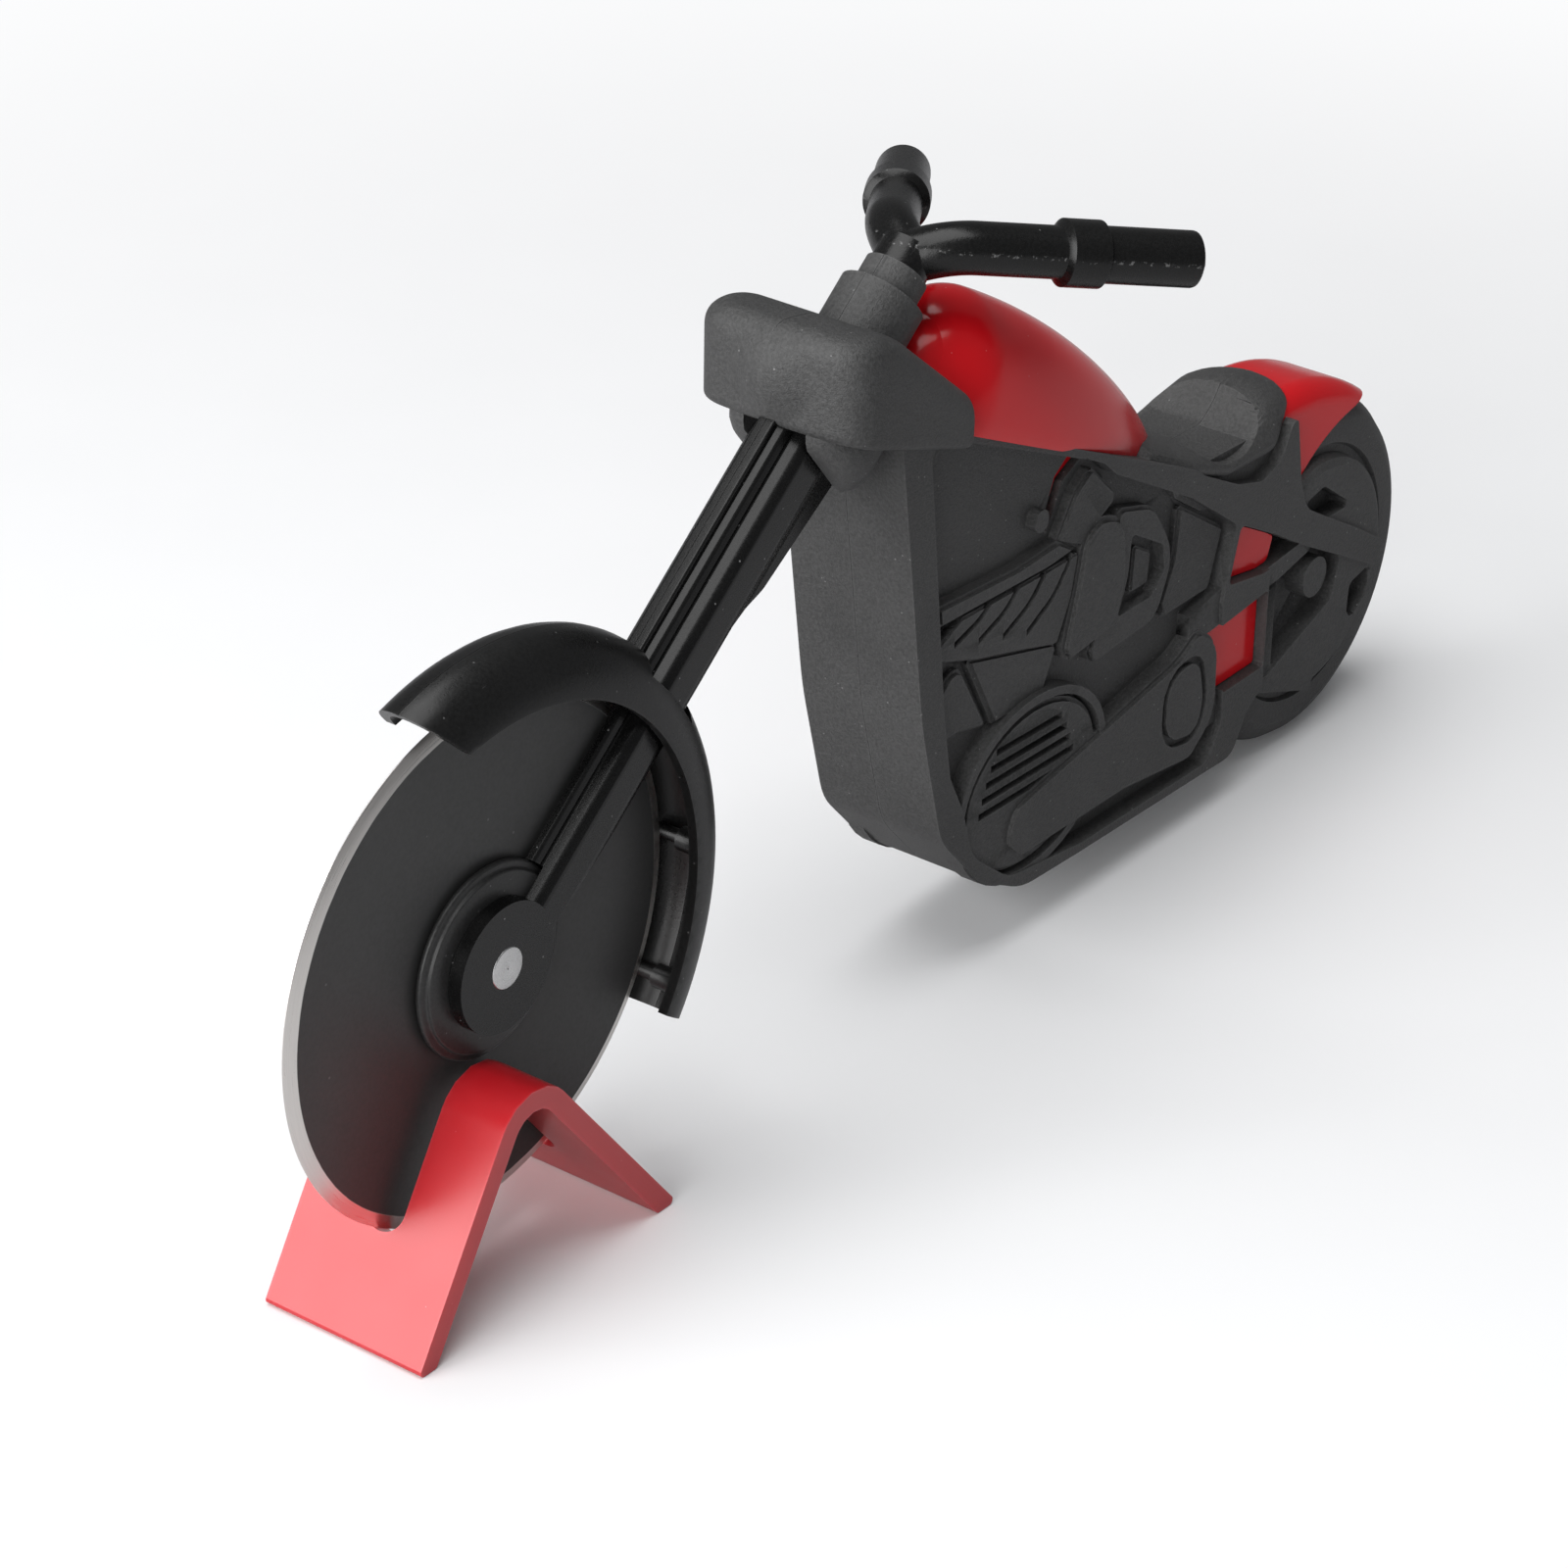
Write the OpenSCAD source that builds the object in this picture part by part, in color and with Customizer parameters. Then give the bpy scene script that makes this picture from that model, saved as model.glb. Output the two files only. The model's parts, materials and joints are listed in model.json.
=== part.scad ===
// Chopper-shaped pizza cutter standing on its own blade rest.
// The cutting wheel is the front wheel.  X runs from the cutting wheel to the rear wheel,
// Y across the machine, Z up from the table.  Every piece is a solid of its own.

/* [Cutting wheel] */
// Diameter of the cutting wheel
blade_d = 65; // [58:1:70]
// Thickness of the cutting wheel
blade_t = 1.3; // [1:0.1:1.6]
// Width of the bare ground bevel round the rim
bevel_w = 1.7; // [1:0.1:3]
// Height of the wheel's lowest point above the table, held up by the rest
blade_lift = 6.7; // [4:0.1:9]

/* [Hub] */
// Diameter of the steel axle pin
pin_d = 5.2; // [4:0.1:6]
// Outer diameter of the bush pressed into the cutting wheel
bush_d = 9; // [8:0.1:11]
// Diameter of the two thrust washers
washer_d = 24; // [20:0.5:27]
// Thickness of each thrust washer
washer_t = 1.4; // [1:0.1:1.8]
// Diameter of the round cap at the end of each fork leg
cap_d = 16; // [13:0.5:18]
// Width of the fork over the two caps
hub_w = 8.6; // [8:0.1:10]

/* [Fork] */
// Distance along the table from the axle to the steering head
reach = 68.7; // [64:0.5:74]
// Height of the steering head above the table
head_z = 90.3; // [87:0.5:94]
// How far the steering axis passes behind the axle
trail = 3.5; // [2.5:0.1:4.5]
// Width of the fork over the rounded legs
fork_w = 8.6; // [8:0.1:9.2]

/* [Front fender] */
// Width of the front fender
fender_w = 12.4; // [12:0.1:15]
// Height of the fender's crown above the cutting wheel's rim
fender_gap = 6.4; // [5.8:0.1:7.5]
// Wall of the front fender
fender_wall = 1.3; // [1:0.1:1.6]

/* [Handlebar] */
// Width between the centres of the two grip ends
bar_span = 43; // [38:0.5:50]
// Diameter of the bars
bar_d = 6.4; // [5.4:0.1:7]
// Diameter of the grips
grip_d = 6.9; // [6.6:0.1:7.6]
// Diameter of the collars
collar_d = 8.2; // [7.9:0.1:9.2]

/* [Steering head] */
// Diameter of the neck
neck_d = 10.8; // [10:0.1:12]
// Diameter of the neck's upper step
neck_step_d = 8; // [7.6:0.1:8.8]
// Diameter of the head below the fairing
chin_d = 18.2; // [16:0.2:19]
// Rounding of the head's lower edge
chin_round = 3; // [1.5:0.1:3.5]
// Diameter of the handlebar's stem inside the neck
stem_d = 5; // [4:0.1:5.6]

/* [Fairing] */
// Width of the fairing
fairing_w = 24.4; // [22:0.2:26]
// Wall of the fairing
fairing_wall = 1.4; // [1.2:0.1:1.6]
// Radius of the round bulge on the fairing's front
bulge_r = 5.6; // [4:0.1:6]
// Height of the bulge
bulge_h = 1.7; // [1:0.1:2.2]

/* [Body] */
// Width of the body shells together
body_w = 18.2; // [17:0.2:20]
// Depth of the engine recess in each side
relief_depth = 2.6; // [2:0.1:3]
// Wall of the body shells
shell_wall = 2.2; // [1.8:0.1:2.6]
// Width of the red core between the shells
core_w = 8; // [7:0.2:8.6]

/* [Tank] */
// Width of the tank
tank_w = 18.6; // [16:0.2:18.8]

/* [Rear wheel] */
// Diameter of the rear wheel
rear_d = 50.6; // [48:0.2:52]
// Width of the rear tyre
rear_w = 14; // [12:0.2:15]
// Distance from the steering head to the rear wheel's centre
rear_x = 95.6; // [94:0.2:98]

/* [Seat] */
// Width of the seat pad
seat_w = 18.4; // [15:0.2:19]

/* [Blade rest] */
// Width of the rest
rest_w = 23.2; // [18:0.2:28]
// Wall of the rest
rest_wall = 2.7; // [2.2:0.1:3.2]
// Outer radius of the ridge
ridge_r = 6.4; // [5:0.1:7.5]
// How far the ridge lies below the axle
ridge_drop = 11.2; // [10.8:0.1:12.6]
// How far the ridge lies ahead of the axle
ridge_ahead = 4.2; // [3:0.1:5]
// Slope of the front leg
front_slope = 59; // [56:0.5:61]
// Slope of the rear leg
back_slope = 51; // [49:0.5:54]
// Room in the slot beside each washer
slot_clear = 0.35; // [0.3:0.05:0.5]

/* [Fits] */
// Clearance between fixed pieces
fit = 0.1; // [0.05:0.01:0.15]
// Radial running clearance of the bush on the pin
run_fit = 0.05; // [0.02:0.01:0.09]
// Side play of the cutting wheel between its washers
side_play = 0.3; // [0.2:0.05:0.4]

/* [Hidden] */

black = "#1d1f20";
dark = "#2b2d2e";
red = "#c01822";
rest_red = "#d8404a";
steel = "#c9cbcd";

$fn = 96;
eps = 0.02;
seam = 0.03;                          // half of the hairline between two halves

blade_r = blade_d / 2;
axle_z = blade_lift + blade_r;
side_y = body_w / 2;
floor_y = side_y - relief_depth;
core_y = core_w / 2;
rear_r = rear_d / 2;

// Steering frame: its X runs up the fork, its Z forward of it, its origin is on the axle.
head_len = norm([reach, head_z - axle_z]);
rake = atan2(head_z - axle_z, reach) + asin(trail / head_len);
head_u = sqrt(head_len * head_len - trail * trail);
function ahead(u, w) = [u * cos(rake) - w * sin(rake), axle_z + u * sin(rake) + w * cos(rake)];

// Overall length, so that the origin lies under the middle of the whole product.
x_front = -blade_r;
x_back = reach + rear_x + rear_r;
x_mid = (x_front + x_back) / 2;

// ---- outlines ------------------------------------------------------------------------------
// A corner list holds [x, z, radius]; round_off() turns its corners into arcs.
function unit(v) = v / norm(v);
function flat(p) = [p[0], p[1]];
function wrap(p, i) = p[(i + len(p)) % len(p)];
function arc_corner(a, p, b, r, n) =
    let (u = unit(a - p), w = unit(b - p))
    let (half = acos(max(-1, min(1, u * w))) / 2)
    let (run = min(r / tan(half), 0.48 * norm(a - p), 0.48 * norm(b - p)))
    let (rr = run * tan(half), c = p + unit(u + w) * rr / sin(half))
    let (s = p + u * run - c, e = p + w * run - c)
    [for (k = [0:n]) c + rr * unit(s * (n - k) + e * k)];
function round_off(p, n = 4) = [for (i = [0:len(p) - 1])
    each p[i][2] > 0
        ? arc_corner(flat(wrap(p, i - 1)), flat(p[i]), flat(wrap(p, i + 1)), p[i][2], n)
        : [flat(p[i])]];
function turn(a, p, b) = (p[0] - a[0]) * (b[1] - p[1]) - (p[1] - a[1]) * (b[0] - p[0]);
function left_of(a, b) = unit([a[1] - b[1], b[0] - a[0]]);
// Moves every edge of a counter-clockwise corner list inwards by d.
function shrink(p, d) = [for (i = [0:len(p) - 1])
    let (a = flat(wrap(p, i - 1)), c = flat(p[i]), b = flat(wrap(p, i + 1)))
    let (m = left_of(a, c), n = left_of(c, b), q = c + (m + n) * d / (1 + m * n))
    [q[0], q[1], p[i][2] == 0 ? 0 : max(0.05, p[i][2] - d * sign(turn(a, c, b)))]];

// A plate standing on the X-Z plane between y0 and y1.
module plate(p, y0, y1) {
    translate([0, y1, 0])
        rotate([90, 0, 0])
            linear_extrude(y1 - y0)
                polygon(p);
}
module disc(x, z, r, y0, y1) {
    translate([x, y1, z])
        rotate([90, 0, 0])
            cylinder(r = r, h = y1 - y0);
}
module round_plate(p, y0, y1, n = 4) {
    plate(round_off(p, n), y0, y1);
}
// A raised relief with a bevelled edge on the floor of the recess.
module relief(p, h, bevel = 0.5) {
    round_plate(p, floor_y - eps, floor_y + h - bevel);
    round_plate(shrink(p, bevel), floor_y - eps, floor_y + h);
}
module steer() {
    translate([0, 0, axle_z])
        rotate([0, -rake, 0])
            children();
}
module steer_rod(r, u0, u1) {
    steer()
        translate([u0, 0, -trail])
            rotate([0, 90, 0])
                cylinder(r = r, h = u1 - u0);
}
module seat_at_head() {
    translate([reach, 0, 0])
        children();
}
// Everything on the far side of the middle plane, up to the hairline between two halves.
module other_half() {
    translate([-100, -100, -100])
        cube([500, 100 + seam, 400]);
}
module mirrored(is_left) {
    if (is_left)
        mirror([0, 1, 0]) children();
    else
        children();
}

// ---- cutting wheel and hub -----------------------------------------------------------------
bush_len = blade_t + 2 * side_play;
washer_in = bush_len / 2;
washer_out = washer_in + washer_t;
cap_out = hub_w / 2;

module on_axle() {
    translate([0, 0, axle_z])
        rotate([90, 0, 0])
            children();
}
module blade() {
    edge_r = blade_r - bevel_w;
    half = blade_t / 2;
    tip = 0.05;
    color(dark)
        on_axle()
            rotate_extrude()
                polygon([[bush_d / 2, -half], [edge_r, -half], [blade_r, -tip],
                         [blade_r, tip], [edge_r, half], [bush_d / 2, half]]);
}
module blade_bush() {
    color("#e6e4dc")
        on_axle()
            difference() {
                cylinder(d = bush_d, h = blade_t, center = true);
                cylinder(r = pin_d / 2 + run_fit, h = blade_t + 1, center = true);
            }
}
module washer(is_left) {
    step = washer_t * 0.4;
    color(black)
        mirrored(is_left)
            difference() {
                union() {
                    disc(0, axle_z, washer_d / 2, washer_in, washer_out - step);
                    disc(0, axle_z, washer_d / 2 - 1, washer_in, washer_out);
                }
                disc(0, axle_z, pin_d / 2 + fit / 2, washer_in - 1, washer_out + 1);
            }
}
module axle_pin() {
    color(steel)
        on_axle()
            cylinder(d = pin_d, h = 2 * cap_out + 0.2, center = true);
}

// ---- fork ----------------------------------------------------------------------------------
leg_y = fork_w / 2;
blade_side = blade_t / 2 + side_play + 0.25;   // inner face of the legs beside the wheel
strip_w = 4.3;                                 // front face, ahead of the axle line
fork_top = head_u - 13;
web_foot = fork_top - 24;
strip_foot = blade_r + 4;
fork_room = 0.25;                              // clearance of the pieces the fork passes through

// Outline of one fork half seen from the side: along the fork, and forward of it.
fork_side = [[-1, 4.4, 0], [-1, -4.4, 0], [8, -3.8, 8], [34, -6.6, 20], [web_foot, -8, 8],
             [web_foot + 7, -10.6, 6], [fork_top, -12.4, 0], [fork_top, strip_w, 0]];
// Section across one half: forward of the fork line, and out from its middle.
fork_section = [[-12.6, 0, 0], [strip_w, 0, 0], [strip_w, 1.15, 0.3], [strip_w - 1, 1.15, 0],
                [strip_w - 1.3, 2.1, 0.6], [strip_w - 2.4, 2.4, 0.5], [strip_w - 2.9, 2.1, 0.3],
                [0.6, leg_y, 2.4], [-4.8, leg_y, 3], [-7.4, 2.2, 1.6], [-9.4, 1.4, 0.8],
                [-12.6, 1.3, 0]];

module fork_body() {
    intersection() {
        steer()
            plate(round_off(fork_side), 0, leg_y + 1);
        steer()
            rotate([90, 0, 90])
                translate([0, 0, -2])
                    linear_extrude(fork_top + 2)
                        polygon([for (c = round_off(fork_section)) [c[1], c[0]]]);
    }
}
module fork(is_left) {
    color(black)
        mirrored(is_left)
            difference() {
                union() {
                    fork_body();
                    disc(0, axle_z, cap_d / 2, washer_out + fit, cap_out);
                }
                disc(0, axle_z, washer_d / 2 + fit, -1, washer_out + fit);
                disc(0, axle_z, strip_foot, -1, blade_side);
                disc(0, axle_z, pin_d / 2, -1, cap_out + 1);
                steer_rod(stem_d / 2 + fit, fork_top - 9, fork_top + 5);
                other_half();
            }
}

// ---- front fender --------------------------------------------------------------------------
// The arch lies a little behind and below the axle, so that it hugs the front of the wheel.
fender_axis = [1.1, 0, axle_z - 0.5];
crown_r = blade_r + fender_gap;
skirt_r = blade_r - 1.9;
skirt_edge = blade_r - 0.6;                    // the skirt is trimmed about the wheel's own axle
fender_back = -35;
fender_tip = 117;
fender_corner = 101;
peg_r = crown_r - 3.2;
peg_angles = [-29, -1, 96];

// Half section of the fender: distance from the axle, and out from the middle.
function arch(grow, n = 10) = [for (k = [0:n])
    [skirt_r + (crown_r - skirt_r + grow) * cos(90 * k / n),
     (fender_w / 2 + grow) * sin(90 * k / n)]];
module fender_ring(a0, a1) {
    translate(fender_axis)
        rotate([90, 0, 0])
            rotate([0, 0, a0])
                rotate_extrude(angle = a1 - a0)
                    mirror([0, 1])
                        polygon(concat(arch(0), [for (k = [10:-1:0]) arch(-fender_wall)[k]]));
}
module fork_way() {
    steer()
        round_plate(shrink(fork_side, -fork_room), -1, leg_y + fork_room);
}
module fender_at(angle, r) {
    translate(fender_axis + r * [cos(angle), 0, sin(angle)])
        children();
}
module fender(is_left) {
    peg_y = fender_w / 2 - 2.4;
    color(dark)
        mirrored(is_left)
            difference() {
                union() {
                    difference() {
                        fender_ring(fender_back, fender_tip);
                        // slanted end from the crown's tip to the lower corner
                        translate(fender_axis)
                            rotate([0, -fender_corner, 0])
                                translate([skirt_r - 2, -1, 0])
                                    rotate([0, -34, 0])
                                        cube([30, 30, 30]);
                        translate(fender_axis - [0, 1, 0])
                            rotate([0, -fender_back, 0])
                                translate([crown_r - 2.4, 0, -3])
                                    rotate([0, 38, 0])
                                        translate([-1, 0, -10])
                                            cube([14, 30, 10]);
                    }
                    for (a = peg_angles)
                        fender_at(a, peg_r)
                            if (is_left)
                                disc(0, 0, 1.5, 0, peg_y);
                            else
                                disc(0, 0, 0.9, -1.8, peg_y);
                }
                if (is_left)
                    for (a = peg_angles)
                        fender_at(a, peg_r)
                            disc(0, 0, 0.9 + fit, -1, 2);
                fork_way();
                disc(0, axle_z, skirt_edge, -1, fender_w);
                if (is_left)
                    other_half();
                else
                    difference() {
                        other_half();
                        for (a = peg_angles)
                            fender_at(a, peg_r)
                                disc(0, 0, 1.2, -3, 1);
                    }
            }
}

// ---- handlebar -----------------------------------------------------------------------------
neck_rise = 10;                                // neck above the middle of the steering head
neck_top = head_u + neck_rise;
bar_root_rise = 7.6;                           // height of the bar's three points above the head
bar_knee_rise = 9.1;
bar_end_rise = 3.6;
bar_root = [9.6, 0, head_z + bar_root_rise];
bar_knee = [12.8, 4.6, head_z + bar_knee_rise];
bar_end = [38.7, bar_span / 2, head_z + bar_end_rise];
collar_from = 13.6;                            // from the bend along the bar
collar_to = 18.9;

bar_bend = 10;                                 // radius of the bend
lap = 0.5;                                     // how far the straight runs reach into the bend
bar_axis = unit(bar_knee - bar_end);
bar_rise = unit(bar_root - bar_knee);
bar_angle = acos(bar_axis * bar_rise);
bar_normal = unit(cross(bar_axis, bar_rise));
bar_side = cross(bar_normal, bar_axis);
bar_run = bar_bend * tan(bar_angle / 2);
bar_len = norm(bar_end - bar_knee);

// A piece of one arm along its straight length, measured from the bend outwards.
module sleeve(r, from, to) {
    translate([-to, 0, 0])
        rotate([0, 90, 0])
            cylinder(r = r, h = to - from);
}
module bar_arm() {
    multmatrix([[bar_axis[0], bar_side[0], bar_normal[0], bar_knee[0]],
                [bar_axis[1], bar_side[1], bar_normal[1], bar_knee[1]],
                [bar_axis[2], bar_side[2], bar_normal[2], bar_knee[2]],
                [0, 0, 0, 1]]) {
        sleeve(bar_d / 2, bar_run - lap, bar_len - 1);
        sleeve(collar_d / 2, collar_from, collar_to);
        sleeve(grip_d / 2, collar_to - 1, bar_len);
        translate([-bar_run, bar_bend, 0])
            rotate([0, 0, -90])
                rotate_extrude(angle = bar_angle)
                    translate([bar_bend, 0])
                        circle(r = bar_d / 2 + 0.03);
        rotate([0, 0, bar_angle])
            translate([bar_run - lap, 0, 0])
                rotate([0, 90, 0])
                    cylinder(d = bar_d, h = norm(bar_root - bar_knee) - bar_run + lap);
    }
}
module handlebar() {
    color(black)
        union() {
            seat_at_head() {
                bar_arm();
                mirror([0, 1, 0])
                    bar_arm();
            }
            translate([reach, 0, 0] + bar_root)
                sphere(r = bar_d / 2 + 0.15);
            steer_rod(stem_d / 2, fork_top - 8, neck_top + 3);
            steer_rod(neck_step_d / 2 - 0.4, neck_top + fit, neck_top + 3.4);
        }
}

// ---- body shells ---------------------------------------------------------------------------
// All outlines of the body are measured from the steering head along X and from the table up.
tank_line = [[0, head_z - 7.3], [62.3, 53.6]];       // top of the shells under the tank
function under_tank(x) = tank_line[0][1]
    + (x - tank_line[0][0]) * (tank_line[1][1] - tank_line[0][1]) / tank_line[1][0];

block_front = [[-2.9, head_z - 7.3, 0], [3.3, 41, 60], [8.2, 22.8, 10], [17, 13.2, 10],
               [26.5, 8.2, 12]];
block_side = concat(block_front, [[39, 7.6, 30], [75.6, 6.4, 3], [79, 12, 2], [82.4, 14, 0],
             [82.4, 40, 0], [79, 45.6, 3], [72.9, 47.4, 3], [65.6, 51.2, 8],
             [tank_line[1][0], tank_line[1][1], 0],
             [-0.5, under_tank(-0.5), 0]]);
recess = [[3.2, under_tank(3.2) - 3.3, 1.5], [8, 40, 60], [9.7, 31.2, 0.8], [12.9, 25, 10],
          [15, 17.8, 8], [23.6, 11, 8], [40, 8.8, 20], [70, 8, 3], [72.6, 13, 3], [71, 31, 0],
          [73.4, 41.6, 2], [55, 54.6, 20], [38.6, 63.6, 2], [34, under_tank(34) - 1.2, 2],
          [9, under_tank(9) - 1.2, 1]];
rail = [[38.6, 64.4, 0.5], [43.5, 60, 0], [54, 54.2, 30], [61.8, 49.8, 30], [75.4, 41, 60],
        [83.6, 36.3, 0], [90.6, 32, 40], [101.8, 26, 0], [109.8, 21.6, 0], [112.4, 24.4, 0],
        [104.4, 29.4, 60], [90.6, 37.4, 6], [88.8, 42, 8], [86.9, 52, 1], [85.6, 51.6, 1],
        [83.4, 47.4, 3], [79, 45.8, 3], [72.9, 47.6, 3], [65.6, 51.4, 8], [57, 55.9, 0],
        [48.8, 60, 0]];
pedestal = [[60, 50, 0], [66, 46, 0], [86, 40, 0], [88, 44, 0], [86, 51, 2], [78, 52, 0],
            [66, 52.5, 0], [56, 57.5, 0]];
swing_arm = [[64, 27.4, 0], [69.5, 27.5, 0], [85.6, 28.7, 0], [94.6, 30.4, 4], [91.3, 32.2, 0],
             [81.6, 31.4, 8], [72.3, 33.2, 6], [64, 31.6, 0]];
lower_arm = [[70.3, 12.6, 0], [80, 13.6, 3], [96, 7.6, 0], [97.6, 9.6, 0], [86, 15.8, 4],
             [72, 17.4, 0]];
post = [[82.5, 13, 0], [85.6, 12, 0], [85.6, 30, 0], [82.5, 30, 0]];
window_top = [[72.1, 33.2, 0.8], [81, 31.6, 0.8], [90, 32.2, 0.5], [82.9, 36.6, 0.5],
              [74.3, 41.2, 0.8]];
panel_top = [[72.1, 33.2, 0.8], [81, 31.6, 0.8], [84, 31.7, 1.2], [85.3, 35.2, 0.8],
             [82.9, 36.6, 0.5], [74.3, 41.2, 0.8]];
window_low = [[72.3, 17.2, 0.8], [82.3, 17.2, 0.6], [82.3, 28.6, 0.6], [69.4, 27.5, 0.8]];
red_sliver = [[30.8, 56.4, 0], [32.2, 55.6, 0], [35.2, 61.4, 0.8], [38.8, 63, 0],
              [36.6, 64.8, 0], [33.4, 62.6, 0.8]];

// engine relief
pipe = [[7.4, 52.4, 0.3], [31, 51.6, 3], [36.8, 52, 0], [32.5, 54.6, 0.4], [24, 54.2, 20],
        [7, 55.3, 0.4]];
cylinder_front = [[6.2, 49.4, 0.6], [8, 47.6, 0], [16, 44.8, 0], [25, 42.4, 0], [33.2, 40, 0.6],
                  [36, 45.6, 10], [37.2, 51.4, 0.5], [31, 51.4, 0], [12, 52, 0]];
crankcase = [[20.4, 33.8, 0.4], [31, 33.8, 0.6], [34, 40, 1], [14, 45.4, 0.5]];
side_case = [[9, 35.4, 1.5], [13, 35.6, 3], [19.4, 34, 0.4], [13, 44.8, 1.5], [10.6, 44.4, 2],
             [7.8, 41.8, 0.6]];
rear_capsule = [[33.6, 36.4, 2], [46, 37.6, 3], [48, 44, 12], [46.8, 53, 4.4], [38.4, 55.6, 4.4],
                [36.6, 47, 12]];
rear_head = [[40, 33.6, 2], [56, 34.4, 4], [59.8, 43, 7], [54, 51.6, 6], [46, 54, 1.5]];
head_window = [[46.6, 38.5, 0.4], [54.6, 38.5, 1.4], [57.2, 41, 1.2], [56.6, 45, 1.2],
               [49, 49.4, 0.6], [48.6, 43.6, 8]];
head_block = [[50.6, 40, 0.5], [54.6, 40, 0.5], [55, 44.4, 0.5], [51, 46.8, 0.5]];
intake = [[32.4, 54.2, 0.6], [37.4, 51.8, 0.6], [45, 55.4, 5], [45, 57, 0], [39.4, 62.2, 1],
          [36.2, 60, 4]];
airbox = [[56.5, 33.2, 2], [69.4, 33.2, 1], [72.2, 41.4, 0.6], [61.2, 48.6, 0.6], [60.4, 41, 6]];
primary = [[22.3, 15.4, 3], [26, 12.6, 2], [50, 12.2, 0], [65, 10.2, 2.5], [71, 14.5, 9],
           [70.6, 26, 8], [65.6, 29.4, 2], [61, 26.8, 10], [24, 20.8, 3.4]];
primary_oval = [[57.5, 14.4, 5], [66.6, 12.8, 4], [68.6, 18, 8], [66.6, 26.4, 4],
                [57.6, 25.6, 5]];
clutch_c = [28.3, 22.2];
clutch_r = [14.6, 11];
clutch_ring = [0.5, 1.7];                      // raised ring round the clutch, inside and outside

function oval(c, r, n = 40) = [for (k = [0:n - 1])
    [c[0] + r[0] * cos(360 * k / n), c[1] + r[1] * sin(360 * k / n)]];

module fin_grooves() {
    // five curved grooves swept up and back across the front cylinder
    for (k = [0:4]) {
        x = 6.4 + 5.2 * k;
        round_plate([[x - 1, 49.9 - 1.5 * k, 0], [x + 5, 51.2 - 1.1 * k, 8],
                     [x + 9.4, 54.2 - 0.6 * k, 0], [x + 8.4, 54.6 - 0.6 * k, 0],
                     [x + 4.4, 52 - 1.1 * k, 8], [x - 1, 50.9 - 1.5 * k, 0]],
                    floor_y + 0.4, side_y + 1, 3);
    }
}
module clutch_slots() {
    for (k = [0:4]) {
        z = 21.8 + 1.95 * k;
        half = 11.4 - 0.5 * k - 0.09 * k * k;
        round_plate([[clutch_c[0] - half, z, 0], [clutch_c[0] + half - 1.4, z - 0.6, 0],
                     [clutch_c[0] + half - 1.4, z + 0.4, 0], [clutch_c[0] - half, z + 1, 0]],
                    floor_y + 0.3, side_y + 1);
    }
}
module engine_relief() {
    relief(pipe, 1.9);
    difference() {
        relief(cylinder_front, 1.8, 0.3);
        fin_grooves();
    }
    relief(crankcase, 1.5);
    relief(side_case, 1.3);
    relief(intake, 1.7);
    disc(29, 58.6, 1.5, floor_y - eps, floor_y + 1.5);
    difference() {
        relief(rear_head, 1.9);
        round_plate(head_window, floor_y + 0.2, side_y + 1);
    }
    relief(head_block, 1.1, 0.3);
    relief(rear_capsule, 2.4, 0.7);
    relief(airbox, 1.2);
    difference() {
        union() {
            plate(oval(clutch_c, clutch_r), floor_y - eps, floor_y + 1.6);
            plate(oval(clutch_c, clutch_r - [0.6, 0.6]), floor_y - eps, floor_y + 2.1);
            difference() {
                plate(oval(clutch_c, clutch_r + clutch_ring[1] * [1, 1]), floor_y - eps, floor_y + 2.4);
                plate(oval(clutch_c, clutch_r + clutch_ring[0] * [1, 1]), floor_y - 1, side_y);
            }
        }
        clutch_slots();
    }
    difference() {
        relief(primary, 2.7, 0.6);
        difference() {
            round_plate(primary_oval, floor_y + 1.9, side_y + 1);
            round_plate(shrink(primary_oval, 1.1), floor_y + 1.8, side_y + 1);
        }
    }
}

// rear wheel, fixed in the shells
wheel_c = [rear_x, rear_r];
rim_r = 16.9;
wheel_y = rear_w / 2;
module rear_wheel() {
    translate([wheel_c[0], 0, wheel_c[1]])
        rotate([-90, 0, 0])
            rotate_extrude()
                polygon([[0, 0], [rear_r, 0], [rear_r - 0.15, wheel_y * 0.3],
                         [rear_r - 0.8, wheel_y * 0.62], [rear_r - 2.1, wheel_y * 0.86],
                         [rear_r - 3.8, wheel_y * 0.98], [rim_r + 1.4, wheel_y],
                         [rim_r + 1, wheel_y - 0.7], [rim_r, wheel_y - 0.7],
                         [rim_r - 0.4, wheel_y + 1], [rim_r - 1.4, wheel_y + 1.5],
                         [0, wheel_y + 1.5]]);
}
wheel_window_low = [[82.3, 14, 0], [92, 17.4, 4], [100, 20.2, 2], [101.6, 26, 1.5],
                    [94.4, 30.2, 1.5], [88, 33.4, 0], [82.3, 37, 0]];
wheel_window_top = [[90.6, 37.6, 0.6], [97.5, 33.4, 2], [103.6, 33.2, 0.6], [96, 38.6, 1.5]];
wheel_window_back = [[104.6, 20.6, 1], [104.2, 13.6, 2], [109.6, 17.6, 2], [109.4, 21.6, 0.8]];

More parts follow.
